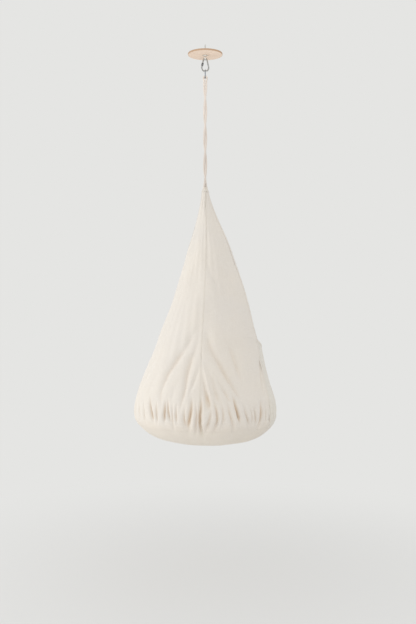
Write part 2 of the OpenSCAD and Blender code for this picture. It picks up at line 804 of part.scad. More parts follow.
// Cushion: two panels drawn in at a piped seam round a soft filling. Their steps lie closer together
// near the seam, where the piping's middle is 1.3 times its radius out from the drawn in edge.
under_gap = base_t + run_gap + tape_t + run_gap;
cushion_steps = 20;
piping_seat = 1.3;
function pinch_at(h) = pinch * pow(1 - clamp01(h / pinch_h), 2);
function step_angle(i) = 90 * pow(i / cushion_steps, 1.3);
cushion_lower = let(line = [for (i = [0:cushion_steps]) bowl(step_angle(i), pod_r, bowl_h, bowl_full)],
        in = bowl_inset(line, under_gap, [1, 0]))
    [for (p = in) [max(p[0] - pinch_at(wide_z - p[1]), 0), p[1]]];
cushion_r = pod_r - under_gap;
cushion_upper = [for (i = [0:cushion_steps])
    let(
        psi = step_angle(i),
        h = crown_h * pow(sin(psi), 2 / crown_full),
        r = i == cushion_steps ? 0 : cushion_r * pow(cos(psi), 2 / crown_full)
    ) [max(r - pinch_at(h), 0), wide_z + h + run_gap / 2]];
function upper_inset(t) =
    [for (i = [0:cushion_steps])
        let(
            n = normal_at(cushion_upper, i),
            p = cushion_upper[i] + t * [n[0], n[1]]
        ) i == 0 ? [cushion_upper[0][0] - t, cushion_upper[0][1]]
            : i == cushion_steps ? [0, cushion_upper[i][1] - t] : p];
function lower_inset(t) =
    [for (i = [0:cushion_steps])
        i == 0 ? [cushion_lower[0][0] - t, wide_z - run_gap / 2]
            : i == cushion_steps ? [0, cushion_lower[i][1] + t]
                : cushion_lower[i] - t * normal_at(cushion_lower, i)];
module cushion_top() {
    a = upper_inset(0);
    b = upper_inset(ticking_t);
    color("whitesmoke")
    rotate_extrude($fn = 96)
        polygon(concat(a, [for (i = [len(b) - 1:-1:0]) b[i]]));
}
module cushion_base() {
    a = lower_inset(0);
    b = lower_inset(ticking_t);
    color("whitesmoke")
    rotate_extrude($fn = 96)
        polygon(concat(a, [for (i = [len(b) - 1:-1:0]) b[i]]));
}
module cushion_piping() {
    color("tan")
    translate([0, 0, wide_z])
        rotate_extrude($fn = 96)
            translate([cushion_r - pinch + piping_seat * piping_r + run_gap, 0])
                circle(piping_r, $fn = 32);
}
module cushion_filling() {
    a = upper_inset(ticking_t + run_gap);
    b = lower_inset(ticking_t + run_gap);
    color("floralwhite")
    rotate_extrude($fn = 96)
        polygon(concat([for (i = [len(a) - 1:-1:0]) a[i]], b));
}

ceiling_disc();
eye_washer();
eye_bolt();
carabiner_body();
gate_pin();
carabiner_gate();
gate_plunger();
gate_spring();
lock_sleeve();
steel_ring();
rope_bight();
rope_twist();
rope_knot();
apex_ring();
apex_casing();
back_panel();
near_side_panel();
far_side_panel();
near_hem();
far_hem();
pouch_panel();
pouch_hem();
near_seam_tape();
far_seam_tape();
base_panel();
base_straps();
cushion_top();
cushion_base();
cushion_piping();
cushion_filling();
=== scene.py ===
# %% [markdown]
# # A hanging pod chair
# The chair is a cotton cover in the shape of a drop, gathered round a seat cushion. It hangs on a twisted
# loop of rope, a steel ring and a carabiner from an eye in a wooden ceiling disc. The rigid pieces come with
# the frame and only need a finish. Cloth, rope and cushion are soft, so this lesson works out their surfaces.

import bpy
import numpy as np
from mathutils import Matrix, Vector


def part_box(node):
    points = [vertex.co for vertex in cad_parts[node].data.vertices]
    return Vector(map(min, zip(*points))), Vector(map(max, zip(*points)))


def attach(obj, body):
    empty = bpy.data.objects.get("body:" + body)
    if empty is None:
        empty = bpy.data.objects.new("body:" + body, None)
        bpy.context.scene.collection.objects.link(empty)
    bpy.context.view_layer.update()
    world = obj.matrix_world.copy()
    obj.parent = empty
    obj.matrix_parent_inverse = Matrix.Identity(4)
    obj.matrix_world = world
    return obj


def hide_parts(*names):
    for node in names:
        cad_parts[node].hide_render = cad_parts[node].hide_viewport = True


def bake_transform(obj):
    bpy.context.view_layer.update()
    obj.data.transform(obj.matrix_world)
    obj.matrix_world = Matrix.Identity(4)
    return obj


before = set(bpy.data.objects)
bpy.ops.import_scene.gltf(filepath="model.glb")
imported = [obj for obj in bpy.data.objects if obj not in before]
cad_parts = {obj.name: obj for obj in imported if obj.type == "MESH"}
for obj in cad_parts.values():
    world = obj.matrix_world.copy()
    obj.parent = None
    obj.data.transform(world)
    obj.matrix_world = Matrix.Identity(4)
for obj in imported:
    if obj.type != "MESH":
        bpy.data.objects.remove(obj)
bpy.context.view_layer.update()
MM = 0.001

# %% [markdown]
# ## Measures
# The frame says where each node is, so the levels of the chair are read from its boxes. The other measures
# are those of the cover's cut: a straight cone, a belly and a full bowl under it. Angles round the pod are in
# degrees from the X axis.

# %% Levels and measures in metres
TOP_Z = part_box("back_panel")[1][2]
SEAM_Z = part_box("back_panel")[0][2]
BOTTOM_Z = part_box("base_panel")[0][2]
CASING_LOW, CASING_HIGH = (corner[2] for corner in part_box("apex_casing"))
TOP_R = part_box("apex_casing")[1][0]
PIPING_LOW, PIPING_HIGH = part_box("cushion_piping")
WIDE_Z = np.mean([PIPING_LOW[2], PIPING_HIGH[2]])
PIPING_R = (PIPING_HIGH[2] - PIPING_LOW[2]) / 2
PIPING_MEAN_R = PIPING_HIGH[0] - PIPING_R
CUSHION_TOP_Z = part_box("cushion_top")[1][2]
CONE_LEN = 0.838
WAIST_Z = TOP_Z - CONE_LEN
WAIST_R = 0.303
WAIST_SLOPE = 0.19
WAIST_PULL = 0.357
WIDE_PULL = 0.217
POD_R = 0.410
BOWL_H = WIDE_Z - BOTTOM_Z
BOWL_FULL = 2.2
OPEN_DIR = 30.0
OPEN_HALF = 56.0
SEAM_ANGLE = 124.0
NEAR_SEAM = OPEN_DIR - SEAM_ANGLE
FAR_SEAM = OPEN_DIR + SEAM_ANGLE
NEAR_EDGE = OPEN_DIR - OPEN_HALF
FAR_EDGE = OPEN_DIR + OPEN_HALF
COVER_T = 1.6 * MM
print(f"cover from z {TOP_Z:.3f} down to the base seam at {SEAM_Z:.3f} and the bottom at {BOTTOM_Z:.3f}")


# %% [markdown]
# ## Meshes from grids
# Every new piece here is a grid of points that a formula gives, with rows along it and columns across it.
# One small kit turns such grids into meshes: the faces are worked out from the row and column numbers as
# whole arrays, and each face corner gets its place on the flat cloth as a UV, in metres.

# %% Turn grids of points into pieces
def grid_part(points, u, v, around=False, flip=False):
    """A grid of rows by columns points as (points, faces, uv). The faces' normals are the direction down the
    rows crossed with the direction along the columns. around joins the last column to the first. u and v are
    given for the grid, or for one row or one column of it, and with around for one column more."""
    rows, columns = points.shape[:2]
    across = columns if around else columns - 1
    u, v = (np.broadcast_to(array, (rows, across + 1)) for array in (u, v))
    i, j = np.meshgrid(np.arange(rows - 1), np.arange(across), indexing="ij")
    corner_i = np.stack([i, i + 1, i + 1, i], -1).reshape(-1, 4)
    corner_j = np.stack([j, j, j + 1, j + 1], -1).reshape(-1, 4)
    if flip:
        corner_i, corner_j = corner_i[:, ::-1], corner_j[:, ::-1]
    uv = np.stack([u[corner_i, corner_j], v[corner_i, corner_j]], -1)
    return points.reshape(-1, 3), corner_i * columns + corner_j % columns, uv


def fan_part(ring, centre, flip=False):
    """A ring of points closed by triangles that meet in one centre point. The UV is the plan view."""
    count = len(ring)
    points = np.vstack([ring, centre])
    j = np.arange(count)
    order = [j, np.full(count, count), (j + 1) % count]
    faces = np.stack(order[::-1] if flip else order, -1)
    return points, faces, points[faces][:, :, :2]


def capped(points, u, v, first, last, flip=False):
    """A grid that closes round, with its first and its last row shut by a fan to a point each."""
    return [grid_part(points, u, v, around=True, flip=flip),
            fan_part(points[0], first, flip=not flip),
            fan_part(points[-1], last, flip=flip)]


def plan_view(points):
    """The UV of a grid that closes round, seen from above, with its first column once more at the end."""
    closed = np.concatenate([points, points[:, :1]], 1)
    return closed[..., 0], closed[..., 1]


# %% Make an object of the parts
WELD_GAP = 1e-6


def build(name, parts, finish, replaces=(), body="pod", fold=None, weld=False):
    """One object from several parts, riding on a body. fold is a number per point, 0 where it isn't given,
    and kept as an attribute: the share of painted shade that the cotton finish darkens by. With weld, points
    in one place become one, so that the skin is closed."""
    points = np.vstack([part[0] for part in parts])
    starts = np.cumsum([0] + [len(part[0]) for part in parts[:-1]])
    corners = np.concatenate([(part[1] + start).ravel() for part, start in zip(parts, starts)])
    sides = np.concatenate([np.full(len(part[1]), part[1].shape[1]) for part in parts])
    uv = np.concatenate([part[2].reshape(-1, 2) for part in parts])
    fold = np.zeros(len(points)) if fold is None else np.ravel(fold)
    if weld:
        places = np.round(points / WELD_GAP).astype(np.int64)
        _, first, same = np.unique(places, axis=0, return_index=True, return_inverse=True)
        points, corners, fold = points[first], same.ravel()[corners], fold[first]
    mesh = bpy.data.meshes.new(name)
    mesh.vertices.add(len(points))
    mesh.vertices.foreach_set("co", points.astype(np.float32).ravel())
    mesh.loops.add(len(corners))
    mesh.loops.foreach_set("vertex_index", corners.astype(np.int32))
    mesh.polygons.add(len(sides))
    mesh.polygons.foreach_set("loop_start", np.concatenate([[0], np.cumsum(sides)[:-1]]).astype(np.int32))
    mesh.polygons.foreach_set("use_smooth", np.full(len(sides), True))
    mesh.uv_layers.new(name="cloth").data.foreach_set("uv", uv.astype(np.float32).ravel())
    # The attribute fold holds the share of painted shade that the cotton finish darkens by
    mesh.attributes.new("fold", "FLOAT", "POINT").data.foreach_set("value", fold.astype(np.float32))
    mesh.update(calc_edges=True)
    mesh.validate()
    mesh.materials.append(finish)
    piece = bpy.data.objects.new(name, mesh)
    bpy.context.scene.collection.objects.link(piece)
    if body:
        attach(piece, body)
    if replaces:
        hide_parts(*replaces)
    print(f"{name}: {len(points)} points, {len(sides)} faces")
    return piece


def thicken(piece, thickness):
    """Gives a sheet its thickness on the inner side, so that the worked out surface stays where it is."""
    modifier = piece.modifiers.new("thickness", "SOLIDIFY")
    modifier.thickness = thickness
    modifier.offset = -1


# %% [markdown]
# ## Lines, circles and curves
# Most surfaces here are a profile carried along a line, or a radius for each angle. These few formulas keep
# the cells below short: how far along a line a point lies, which way the line runs there, points from a
# radius, an angle and a height, and a circle of points round every point of a line.

# %% Small formulas that many pieces share
def ease(t):
    """From 0 to 1 with a soft start and a soft end: three t squared minus two t cubed."""
    t = np.clip(t, 0, 1)
    return t * t * (3 - 2 * t)


def turn(degrees):
    """An angle brought between -180 and 180 degrees."""
    return (np.asarray(degrees) + 180) % 360 - 180


def unit(directions):
    """Directions brought to the length 1."""
    return directions / np.linalg.norm(directions, axis=-1, keepdims=True)


def along(points):
    """Unit directions along a path of points."""
    return unit(np.gradient(points, axis=0))


def path_length(points):
    """The length along a path from its start to each of its points."""
    return np.concatenate([[0], np.cumsum(np.linalg.norm(np.diff(points, axis=0), axis=1))])


def read_at(places, lengths, *columns_of):
    """Points or directions known at some lengths along a path, read between them by straight lines."""
    return [np.stack([np.interp(places, lengths, column) for column in array.T], 1) for array in columns_of]


def polar(radius, angle, z):
    """Points from a radius, an angle in radians and a height, for any arrays that fit each other."""
    return np.stack(np.broadcast_arrays(radius * np.cos(angle), radius * np.sin(angle), z), -1)


def circle(count):
    """Angles in radians once round, evenly spaced, without the last one that would be the first again."""
    return np.linspace(0, 2 * np.pi, count, endpoint=False)


def rings(line, first, second, radius, sides):
    """A circle in the plane of two directions, carried along a line: the points of a tube."""
    a = circle(sides)[:, None]
    return line[:, None] + radius * (np.cos(a) * first[:, None] + np.sin(a) * second[:, None])


def bezier(t, handles):
    """A cubic curve that starts at the first of four handles and ends at the last, for a column of t."""
    return np.hstack([(1 - t) ** 3, 3 * (1 - t) ** 2 * t, 3 * (1 - t) * t ** 2, t ** 3]) @ np.array(handles)


# %% [markdown]
# ## Finishes
# A finish is a small node tree. Each one starts from a Principled shader with its constants set on the
# sockets, and noise on Object coordinates or on the cloth's own UV varies the colour and the bump.

# %% Helpers for node trees
def linear(colour):
    """Linear light of an sRGB colour given from 0 to 255."""
    c = np.array(colour) / 255
    return (*np.where(c <= 0.04045, c / 12.92, ((c + 0.055) / 1.055) ** 2.4), 1.0)


def new_finish(name, colour, roughness, **constants):
    """A material with a Principled shader. colour is sRGB from 0 to 255, turned to linear light here."""
    material = bpy.data.materials.new(name)
    material.use_nodes = True
    shader = material.node_tree.nodes["Principled BSDF"]
    shader.inputs["Base Color"].default_value = linear(colour)
    shader.inputs["Roughness"].default_value = roughness
    for key, value in constants.items():
        shader.inputs[key.replace("_", " ")].default_value = value
    print("finish:", name)
    return material, shader


def join(owner, source, target):
    """A link from one socket to another, in the node tree of a material or the world."""
    owner.node_tree.links.new(source, target)


def add(owner, kind, inputs=None, **settings):
    """A node of a kind, with its settings, and its inputs linked from sockets or set to values."""
    node = owner.node_tree.nodes.new("ShaderNode" + kind)
    for key, value in settings.items():
        setattr(node, key, value)
    for key, value in (inputs or {}).items():
        if isinstance(value, bpy.types.NodeSocket):
            join(owner, value, node.inputs[key])
        else:
            node.inputs[key].default_value = value
    return node


def number(owner, operation, *values):
    """A number worked out from sockets or values."""
    return add(owner, "Math", dict(enumerate(values)), operation=operation).outputs[0]


def place_of(owner):
    """The point's own place on its piece, in metres."""
    return add(owner, "TexCoord").outputs["Object"]


def noise(owner, coordinates, stretch=(1, 1, 1), scale=1.0, detail=2.0, distortion=0.0):
    """A noise from 0 to 1 on coordinates that are first stretched by a factor for each direction."""
    if stretch != (1, 1, 1):
        coordinates = add(owner, "Mapping", {"Vector": coordinates, "Scale": stretch}).outputs["Vector"]
    inputs = {"Vector": coordinates, "Scale": scale, "Detail": detail, "Distortion": distortion}
    return add(owner, "TexNoise", inputs).outputs[0]


def ramp(owner, source, low, high):
    """A number from a socket stretched so that low becomes 0 and high becomes 1."""
    return add(owner, "MapRange", {"Value": source, "From Min": low, "From Max": high}).outputs["Result"]


def mixed(owner, factor, first, second, blend="MIX"):
    """A colour mixed from two, each a socket or a colour."""
    inputs = {0: factor, 6: first, 7: second}
    return add(owner, "Mix", inputs, data_type="RGBA", blend_type=blend).outputs[2]


def bump(owner, height, strength, distance, **below):
    """A normal tilted by a height, on top of the one below where it is given."""
    inputs = {"Height": height, "Strength": strength, "Distance": distance, **below}
    return add(owner, "Bump", inputs).outputs[0]


# %% [markdown]
# ## Cotton
# The cover is undyed cotton canvas. Its yarns are thick and thin by turns, so the colour varies along both
# directions of the weave, and each crossing of two yarns is a small bump. Light that falls into a fold comes
# out warmer, which the render works out by itself, and painted shade adds a warm, darker tone on top of that:
# the attribute fold says how much of it a point gets, from the depth of its fold and its nearness to the base
# seam.

# %% The cloth finish
WEAVE = 1.5 * MM
YARNS_PER_M = 700
SLUBS_PER_M = 28
CRUMPLES_PER_M = (70, 30, 1)
CLOUDS_PER_M = 4.0
COOL = [0.965, 0.975, 1.0, 1.0]
# Tone of the painted shade that folds and the base seam get
PAINTED_SHADE_TONE = [0.90, 0.80, 0.69, 1.0]


def cotton(name, light, deep, weave=WEAVE, relief=0.35, wrinkle=0.5):
    """Woven cotton: two colours, the size of a yarn's crossing, and how strong weave and wrinkles are."""
    material, shader = new_finish(name, light, 0.9, Sheen_Weight=0.12, Sheen_Roughness=0.5,
                                  Specular_IOR_Level=0.2)
    uv = add(material, "UVMap", uv_map="cloth").outputs["UV"]
    warp = noise(material, uv, (YARNS_PER_M, SLUBS_PER_M, 1))
    weft = noise(material, uv, (SLUBS_PER_M, YARNS_PER_M, 1))
    slub = number(material, "ADD", warp, weft)
    cloud = noise(material, place_of(material), scale=CLOUDS_PER_M, detail=3.0)
    fold = add(material, "Attribute", attribute_name="fold").outputs["Fac"]
    colour = mixed(material, ramp(material, slub, 0.7, 1.35), linear(deep), linear(light))
    colour = mixed(material, ramp(material, cloud, 0.35, 0.75), colour, COOL, "MULTIPLY")
    # Painted shade: the fold attribute darkens the colour to a warm brown in folds and towards the base seam
    colour = mixed(material, ramp(material, fold, 0.05, 1.0), colour, PAINTED_SHADE_TONE, "MULTIPLY")
    join(material, colour, shader.inputs["Base Color"])
    crossing = add(material, "Mapping", {"Vector": uv, "Scale": (np.pi / weave, np.pi / weave, 1)})
    parts = add(material, "SeparateXYZ", {"Vector": crossing.outputs["Vector"]})
    across, down = (number(material, "SINE", parts.outputs[key]) for key in ("X", "Y"))
    yarn = number(material, "ADD", number(material, "MULTIPLY", across, down), slub)
    crumple = noise(material, uv, CRUMPLES_PER_M, detail=4.0)
    creased = bump(material, crumple, wrinkle, 1.2 * MM)
    join(material, bump(material, yarn, relief, 0.25 * MM, Normal=creased), shader.inputs["Normal"])
    return material


cover_cotton = cotton("cover_cotton", (237, 230, 220), (231, 223, 211))
hem_cotton = cotton("hem_cotton", (235, 228, 218), (229, 221, 209), wrinkle=0.25)
# The base's cotton is a darker copy of the cover's: painted shade on the underside
base_cotton = cotton("base_cotton", (235, 227, 215), (229, 220, 207))
# The pouch's cotton is a darker, cooler copy of the cover's: painted shade on the pouch, which lies back in
# the entry
pouch_cotton_shaded = cotton("pouch_cotton_shaded", (233, 228, 218), (227, 221, 209))
tape_cotton = cotton("tape_cotton", (238, 233, 222), (226, 219, 205), 2.2 * MM, relief=0.6, wrinkle=0.1)
ticking = cotton("ticking", (233, 227, 215), (222, 214, 199), 1.2 * MM)
filling_cotton = cotton("filling_cotton", (238, 234, 225), (229, 223, 211), wrinkle=0.9)


# %% [markdown]
# ## Rope, wood and steel
# Cotton rope has yarns that run along its strands, so its finish follows the strand's UV. The disc is pale
# sanded wood with its rings and pores drawn out along the grain. The steel is zinc plated: a soft, slightly
# cloudy gloss, with fine lines where it was brushed.

# %% The rope finish
YARNS_ROUND = 7.0
YARN_TURNS_PER_M = 220.0
FUZZ_STRETCH = (14, 900, 1)


def rope_finish(name, light, deep):
    """Twisted cotton yarns: thin stripes on a slant along each strand, by the UV round and along it.
    The colour is darker where the stripes are low: painted shade in the grooves between yarns.
    """
    material, shader = new_finish(name, light, 0.92, Sheen_Weight=0.2, Sheen_Roughness=0.5,
                                  Specular_IOR_Level=0.15)
    uv = add(material, "UVMap", uv_map="cloth").outputs["UV"]
    parts = add(material, "SeparateXYZ", {"Vector": uv})
    slant = number(material, "MULTIPLY", parts.outputs["Y"], YARN_TURNS_PER_M)
    yarn = number(material, "MULTIPLY_ADD", parts.outputs["X"], YARNS_ROUND, slant)
    stripe = number(material, "SINE", number(material, "MULTIPLY", yarn, 2 * np.pi))
    height = number(material, "ADD", stripe, noise(material, uv, FUZZ_STRETCH, detail=3.0))
    # Painted shade: the colour is darker in the grooves between the yarns; the fuzz adds tone that varies at
    # random
    colour = mixed(material, ramp(material, height, -0.7, 1.2), linear(deep), linear(light))
    join(material, colour, shader.inputs["Base Color"])
    join(material, bump(material, height, 0.7, 0.3 * MM), shader.inputs["Normal"])
    return material


rope_cotton = rope_finish("rope_cotton", (240, 232, 224), (226, 212, 198))
thread = rope_finish("thread", (240, 236, 226), (222, 214, 198))

# %% The wood finish
RING_STRETCH = (5, 60, 60)
RINGS_IN_NOISE = 9.0
PORE_STRETCH = (60, 1400, 1400)
PORE_TONE = [0.86, 0.79, 0.7, 1]
EDGE_FADE = 1.2 * MM
EDGE_ROUNDING = 2.6 * MM


def wood(name, light, deep, edge, edge_r):
    """Pale wood: bands of a noise drawn out along X, pores as a finer one, and a darker colour on the rim,
    beyond a distance from the Z axis. It is sanded and has no gloss, even where light glances off."""
    material, shader = new_finish(name, light, 0.8, Specular_IOR_Level=0.0)
    place = place_of(material)
    grain = noise(material, place, RING_STRETCH, detail=5.0, distortion=0.6)
    band = number(material, "FRACT", number(material, "MULTIPLY", grain, RINGS_IN_NOISE))
    pores = noise(material, place, PORE_STRETCH)
    flat = add(material, "VectorMath", {0: place, 1: (1, 1, 0)}, operation="MULTIPLY").outputs["Vector"]
    away = add(material, "VectorMath", {0: flat}, operation="LENGTH").outputs["Value"]
    colour = mixed(material, ramp(material, band, 0.0, 1.0), linear(light), linear(deep))
    colour = mixed(material, ramp(material, pores, 0.62, 0.75), colour, PORE_TONE, "MULTIPLY")
    colour = mixed(material, ramp(material, away, edge_r, edge_r + EDGE_FADE), colour, linear(edge))
    join(material, colour, shader.inputs["Base Color"])
    join(material, bump(material, pores, 0.08, 0.2 * MM), shader.inputs["Normal"])
    return material


disc_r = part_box("ceiling_disc")[1][0]
disc_wood = wood("disc_wood", (244, 226, 210), (234, 212, 193), (190, 161, 135), disc_r - EDGE_ROUNDING)

# %% The steel finish
BRUSHED = (2500, 2500, 120)
CLOUDED = [0.82, 0.82, 0.83, 1.0]


def steel(name, colour, roughness):
    """Plated steel: a cloudy colour, and fine lines drawn out along Z in roughness and bump."""
    material, shader = new_finish(name, colour, roughness, Metallic=1.0)
    place = place_of(material)
    cloud = noise(material, place, scale=90.0, detail=4.0)
    lines = noise(material, place, BRUSHED)
    tone = mixed(material, ramp(material, cloud, 0.35, 0.7), linear(colour), CLOUDED, "MULTIPLY")
    join(material, tone, shader.inputs["Base Color"])
    rough = {"Value": lines, "To Min": roughness - 0.08, "To Max": roughness + 0.12}
    join(material, add(material, "MapRange", rough).outputs["Result"], shader.inputs["Roughness"])
    join(material, bump(material, lines, 0.15, 0.05 * MM), shader.inputs["Normal"])
    return material


zinc_steel = steel("zinc_steel", (206, 205, 200), 0.36)
eye_zinc = steel("eye_zinc", (236, 234, 229), 0.42)
# The washer's warm tone is close to the disc's wood: a painted reflection of the wood on the zinc
washer_zinc_painted_reflection = steel("washer_zinc_painted_reflection", (232, 220, 206), 0.55)
carabiner_steel = steel("carabiner_steel", (188, 188, 186), 0.32)
sleeve_steel = steel("sleeve_steel", (140, 141, 142), 0.42)
ring_steel = steel("ring_steel", (162, 170, 178), 0.34)

# %% Dress the rigid nodes that come with the frame
NODE_FINISH = {
    "ceiling_disc": disc_wood,
    "eye_washer": washer_zinc_painted_reflection,
    "eye_bolt": eye_zinc,
    "carabiner_body": carabiner_steel,
    "gate_pin": carabiner_steel,
    "carabiner_gate": carabiner_steel,
    "gate_plunger": zinc_steel,
    "lock_sleeve": sleeve_steel,
    "steel_ring": ring_steel,
    "apex_ring": zinc_steel,
}
for node_name, finish in NODE_FINISH.items():
    node_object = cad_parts[node_name]
    node_object.data.materials.clear()
    node_object.data.materials.append(finish)
print("dressed:", ", ".join(NODE_FINISH))


# %% [markdown]
# ## The camera and the light
# The camera stands where the photograph was taken: level, about five metres away and at half the room's
# height. It is made before the soft pieces because it doesn't depend on them. A big soft lamp on the left is
# the window, one on the floor gives back what a pale floor would, and a small one lights the disc.

# %% The camera
IMAGE_W, IMAGE_H = 416, 624
AXIS_PX = 205.2
CEILING_PX = 53.5
METRES_PER_PX = 5.8 * MM
FOCAL_PX = 850.0
SENSOR = 36.0
camera_data = bpy.data.cameras.new("camera")
camera_data.sensor_fit = "VERTICAL"
camera_data.sensor_height = SENSOR
camera_data.lens = FOCAL_PX / IMAGE_H * SENSOR
camera = bpy.data.objects.new("camera", camera_data)
camera.location = ((IMAGE_W / 2 - AXIS_PX) * METRES_PER_PX, -FOCAL_PX * METRES_PER_PX,
                   -(IMAGE_H / 2 - CEILING_PX) * METRES_PER_PX)
camera.rotation_euler = (np.pi / 2, 0, 0)
bpy.context.scene.collection.objects.link(camera)
bpy.context.scene.camera = camera
bpy.context.scene.view_settings.view_transform = "Standard"
print("camera at", tuple(round(c, 3) for c in camera.location))


# %% The lamps
def area_light(name, place, aim, size, power, colour, spread=180):
    """A square area light at a place, turned towards a point, with its spread in degrees."""
    data = bpy.data.lights.new(name, "AREA")
    data.size = size
    data.energy = power
    data.color = colour
    data.spread = np.radians(spread)
    light = bpy.data.objects.new(name, data)
    light.location = place
    direction = np.array(place) - np.array(aim)
    light.rotation_euler = (np.arctan2(np.hypot(*direction[:2]), direction[2]), 0,
                            np.arctan2(direction[1], direction[0]) + np.pi / 2)
    light.visible_camera = False
    bpy.context.scene.collection.objects.link(light)
    print(f"{name}: {size} m wide, {power} W")


area_light("window", (-4.4, -0.5, -1.0), (0, 0, -1.7), 2.0, 42, (0.97, 0.985, 1.0))
area_light("reflector", (-0.35, -0.5, -2.95), (-0.1, -0.1, 0), 4.0, 15.5, (1.0, 0.985, 0.955))
area_light("ceiling_wash", (0.1, -1.1, -0.75), (0, 0, 0.02), 0.5, 0.55, (1.0, 0.97, 0.95), 60)

# %% [markdown]
# The world lights the object evenly. The camera and glossy surfaces see a plain grey instead, so that the
# backdrop's tone has nothing to do with the amount of light. The floor fades into the same grey further out.

# %% World and floor
BACKDROP = linear((229, 229, 227))
FLOOR_Z = -3.0
FLOOR_HALF = 30.0
world = bpy.data.worlds.new("world")
world.use_nodes = True
bpy.context.scene.world = world
light_path = add(world, "LightPath").outputs
seen = number(world, "MAXIMUM", light_path["Is Camera Ray"], light_path["Is Glossy Ray"])
sky = world.node_tree.nodes["Background"]
sky.inputs["Color"].default_value = (0.985, 0.99, 1.0, 1)
sky.inputs["Strength"].default_value = 0.96
backdrop = add(world, "Background", {"Color": BACKDROP}).outputs[0]
mixed_world = add(world, "MixShader", {0: seen, 1: sky.outputs[0], 2: backdrop}).outputs[0]
join(world, mixed_world, world.node_tree.nodes["World Output"].inputs["Surface"])

floor_paint, floor_shader = new_finish("floor_paint", (214, 213, 210), 0.8)
glow = add(floor_paint, "Emission", {"Color": BACKDROP}).outputs[0]
away = add(floor_paint, "VectorMath", {0: place_of(floor_paint)}, operation="LENGTH").outputs["Value"]
fade = add(floor_paint, "MapRange", {"Value": away, "From Min": 0.4, "From Max": 2.6, "To Min": 0.4},
           interpolation_type="SMOOTHSTEP").outputs["Result"]
factor = number(floor_paint, "MULTIPLY", fade, add(floor_paint, "LightPath").outputs["Is Camera Ray"])
mixed_floor = add(floor_paint, "MixShader", {0: factor, 1: floor_shader.outputs[0], 2: glow}).outputs[0]
join(floor_paint, mixed_floor, floor_paint.node_tree.nodes["Material Output"].inputs["Surface"])
floor_mesh = bpy.data.meshes.new("floor")
corners = [(x * FLOOR_HALF, y * FLOOR_HALF, 0) for x, y in ((-1, -1), (1, -1), (1, 1), (-1, 1))]
floor_mesh.from_pydata(corners, [], [(0, 1, 2, 3)])
floor_mesh.materials.append(floor_paint)
floor = bpy.data.objects.new("floor", floor_mesh)
floor.location = (0, 0, FLOOR_Z)
bpy.context.scene.collection.objects.link(floor)
print("floor at", FLOOR_Z)


# %% [markdown]
# ## The cover's outline
# Seen from the side the cover is a straight cone, then a belly that a cubic curve rounds, then the bowl of
# the seat, which is fuller than an ellipse. The outline is worked out once with many points, and any piece
# then asks it for the radius, the height and the outward normal at a length measured down the cloth.

# %% Outline of the cover by length along the cloth
OUTLINE_SAMPLES = 400
SMOOTH_OVER = 31


def bowl_z(radius):
    """Height of the bowl at a radius: the superellipse that reaches the widest line and the bottom."""
    share = np.clip(np.abs(radius) / POD_R, 0, 1)
    return WIDE_Z - BOWL_H * (1 - share ** BOWL_FULL) ** (1 / BOWL_FULL)


def outline_points():
    """Radius and height down the whole pod: cone, belly curve, then the bowl to the bottom's middle."""
    t = np.linspace(0, 1, OUTLINE_SAMPLES)[:, None]
    cone = (1 - t) * [TOP_R, TOP_Z] + t * [WAIST_R, WAIST_Z]
    drop = WAIST_Z - WIDE_Z
    belly = bezier(t, [[WAIST_R, WAIST_Z],
                       [WAIST_R + WAIST_SLOPE * WAIST_PULL * drop, WAIST_Z - WAIST_PULL * drop],
                       [POD_R, WIDE_Z + WIDE_PULL * drop],
                       [POD_R, WIDE_Z]])
    angle = t * np.pi / 2
    bowl = np.hstack([POD_R * np.cos(angle) ** (2 / BOWL_FULL),
                      WIDE_Z - BOWL_H * np.sin(angle) ** (2 / BOWL_FULL)])
    bowl[-1] = [0, BOTTOM_Z]
    return np.vstack([cone, belly[1:], bowl[1:]])


def smoothed(columns):
    """Columns of numbers, each averaged over its neighbours with the weights of a raised cosine."""
    weights = np.hanning(SMOOTH_OVER) / np.hanning(SMOOTH_OVER).sum()
    padded = np.pad(columns, ((SMOOTH_OVER // 2, SMOOTH_OVER // 2), (0, 0)), mode="edge")
    return np.stack([np.convolve(column, weights, mode="valid") for column in padded.T], 1)


OUTLINE = outline_points()
OUTLINE_S = path_length(OUTLINE)
SLOPE = smoothed(np.gradient(OUTLINE, OUTLINE_S, axis=0))
NORMAL = unit(np.stack([-SLOPE[:, 1], SLOPE[:, 0]], 1))


def outline_at(s):
    """Radius, height, and the normal's outward and upward part at a length down the cloth."""
    return [np.interp(s, OUTLINE_S, column) for column in (*OUTLINE.T, *NORMAL.T)]


def length_at(z):
    """Length down the cloth at which it reaches a height."""
    return np.interp(-np.asarray(z), -OUTLINE[:, 1], OUTLINE_S)


SEAM_S = length_at(SEAM_Z)
print(f"the cloth is {SEAM_S:.3f} m long from the tip to the base seam")
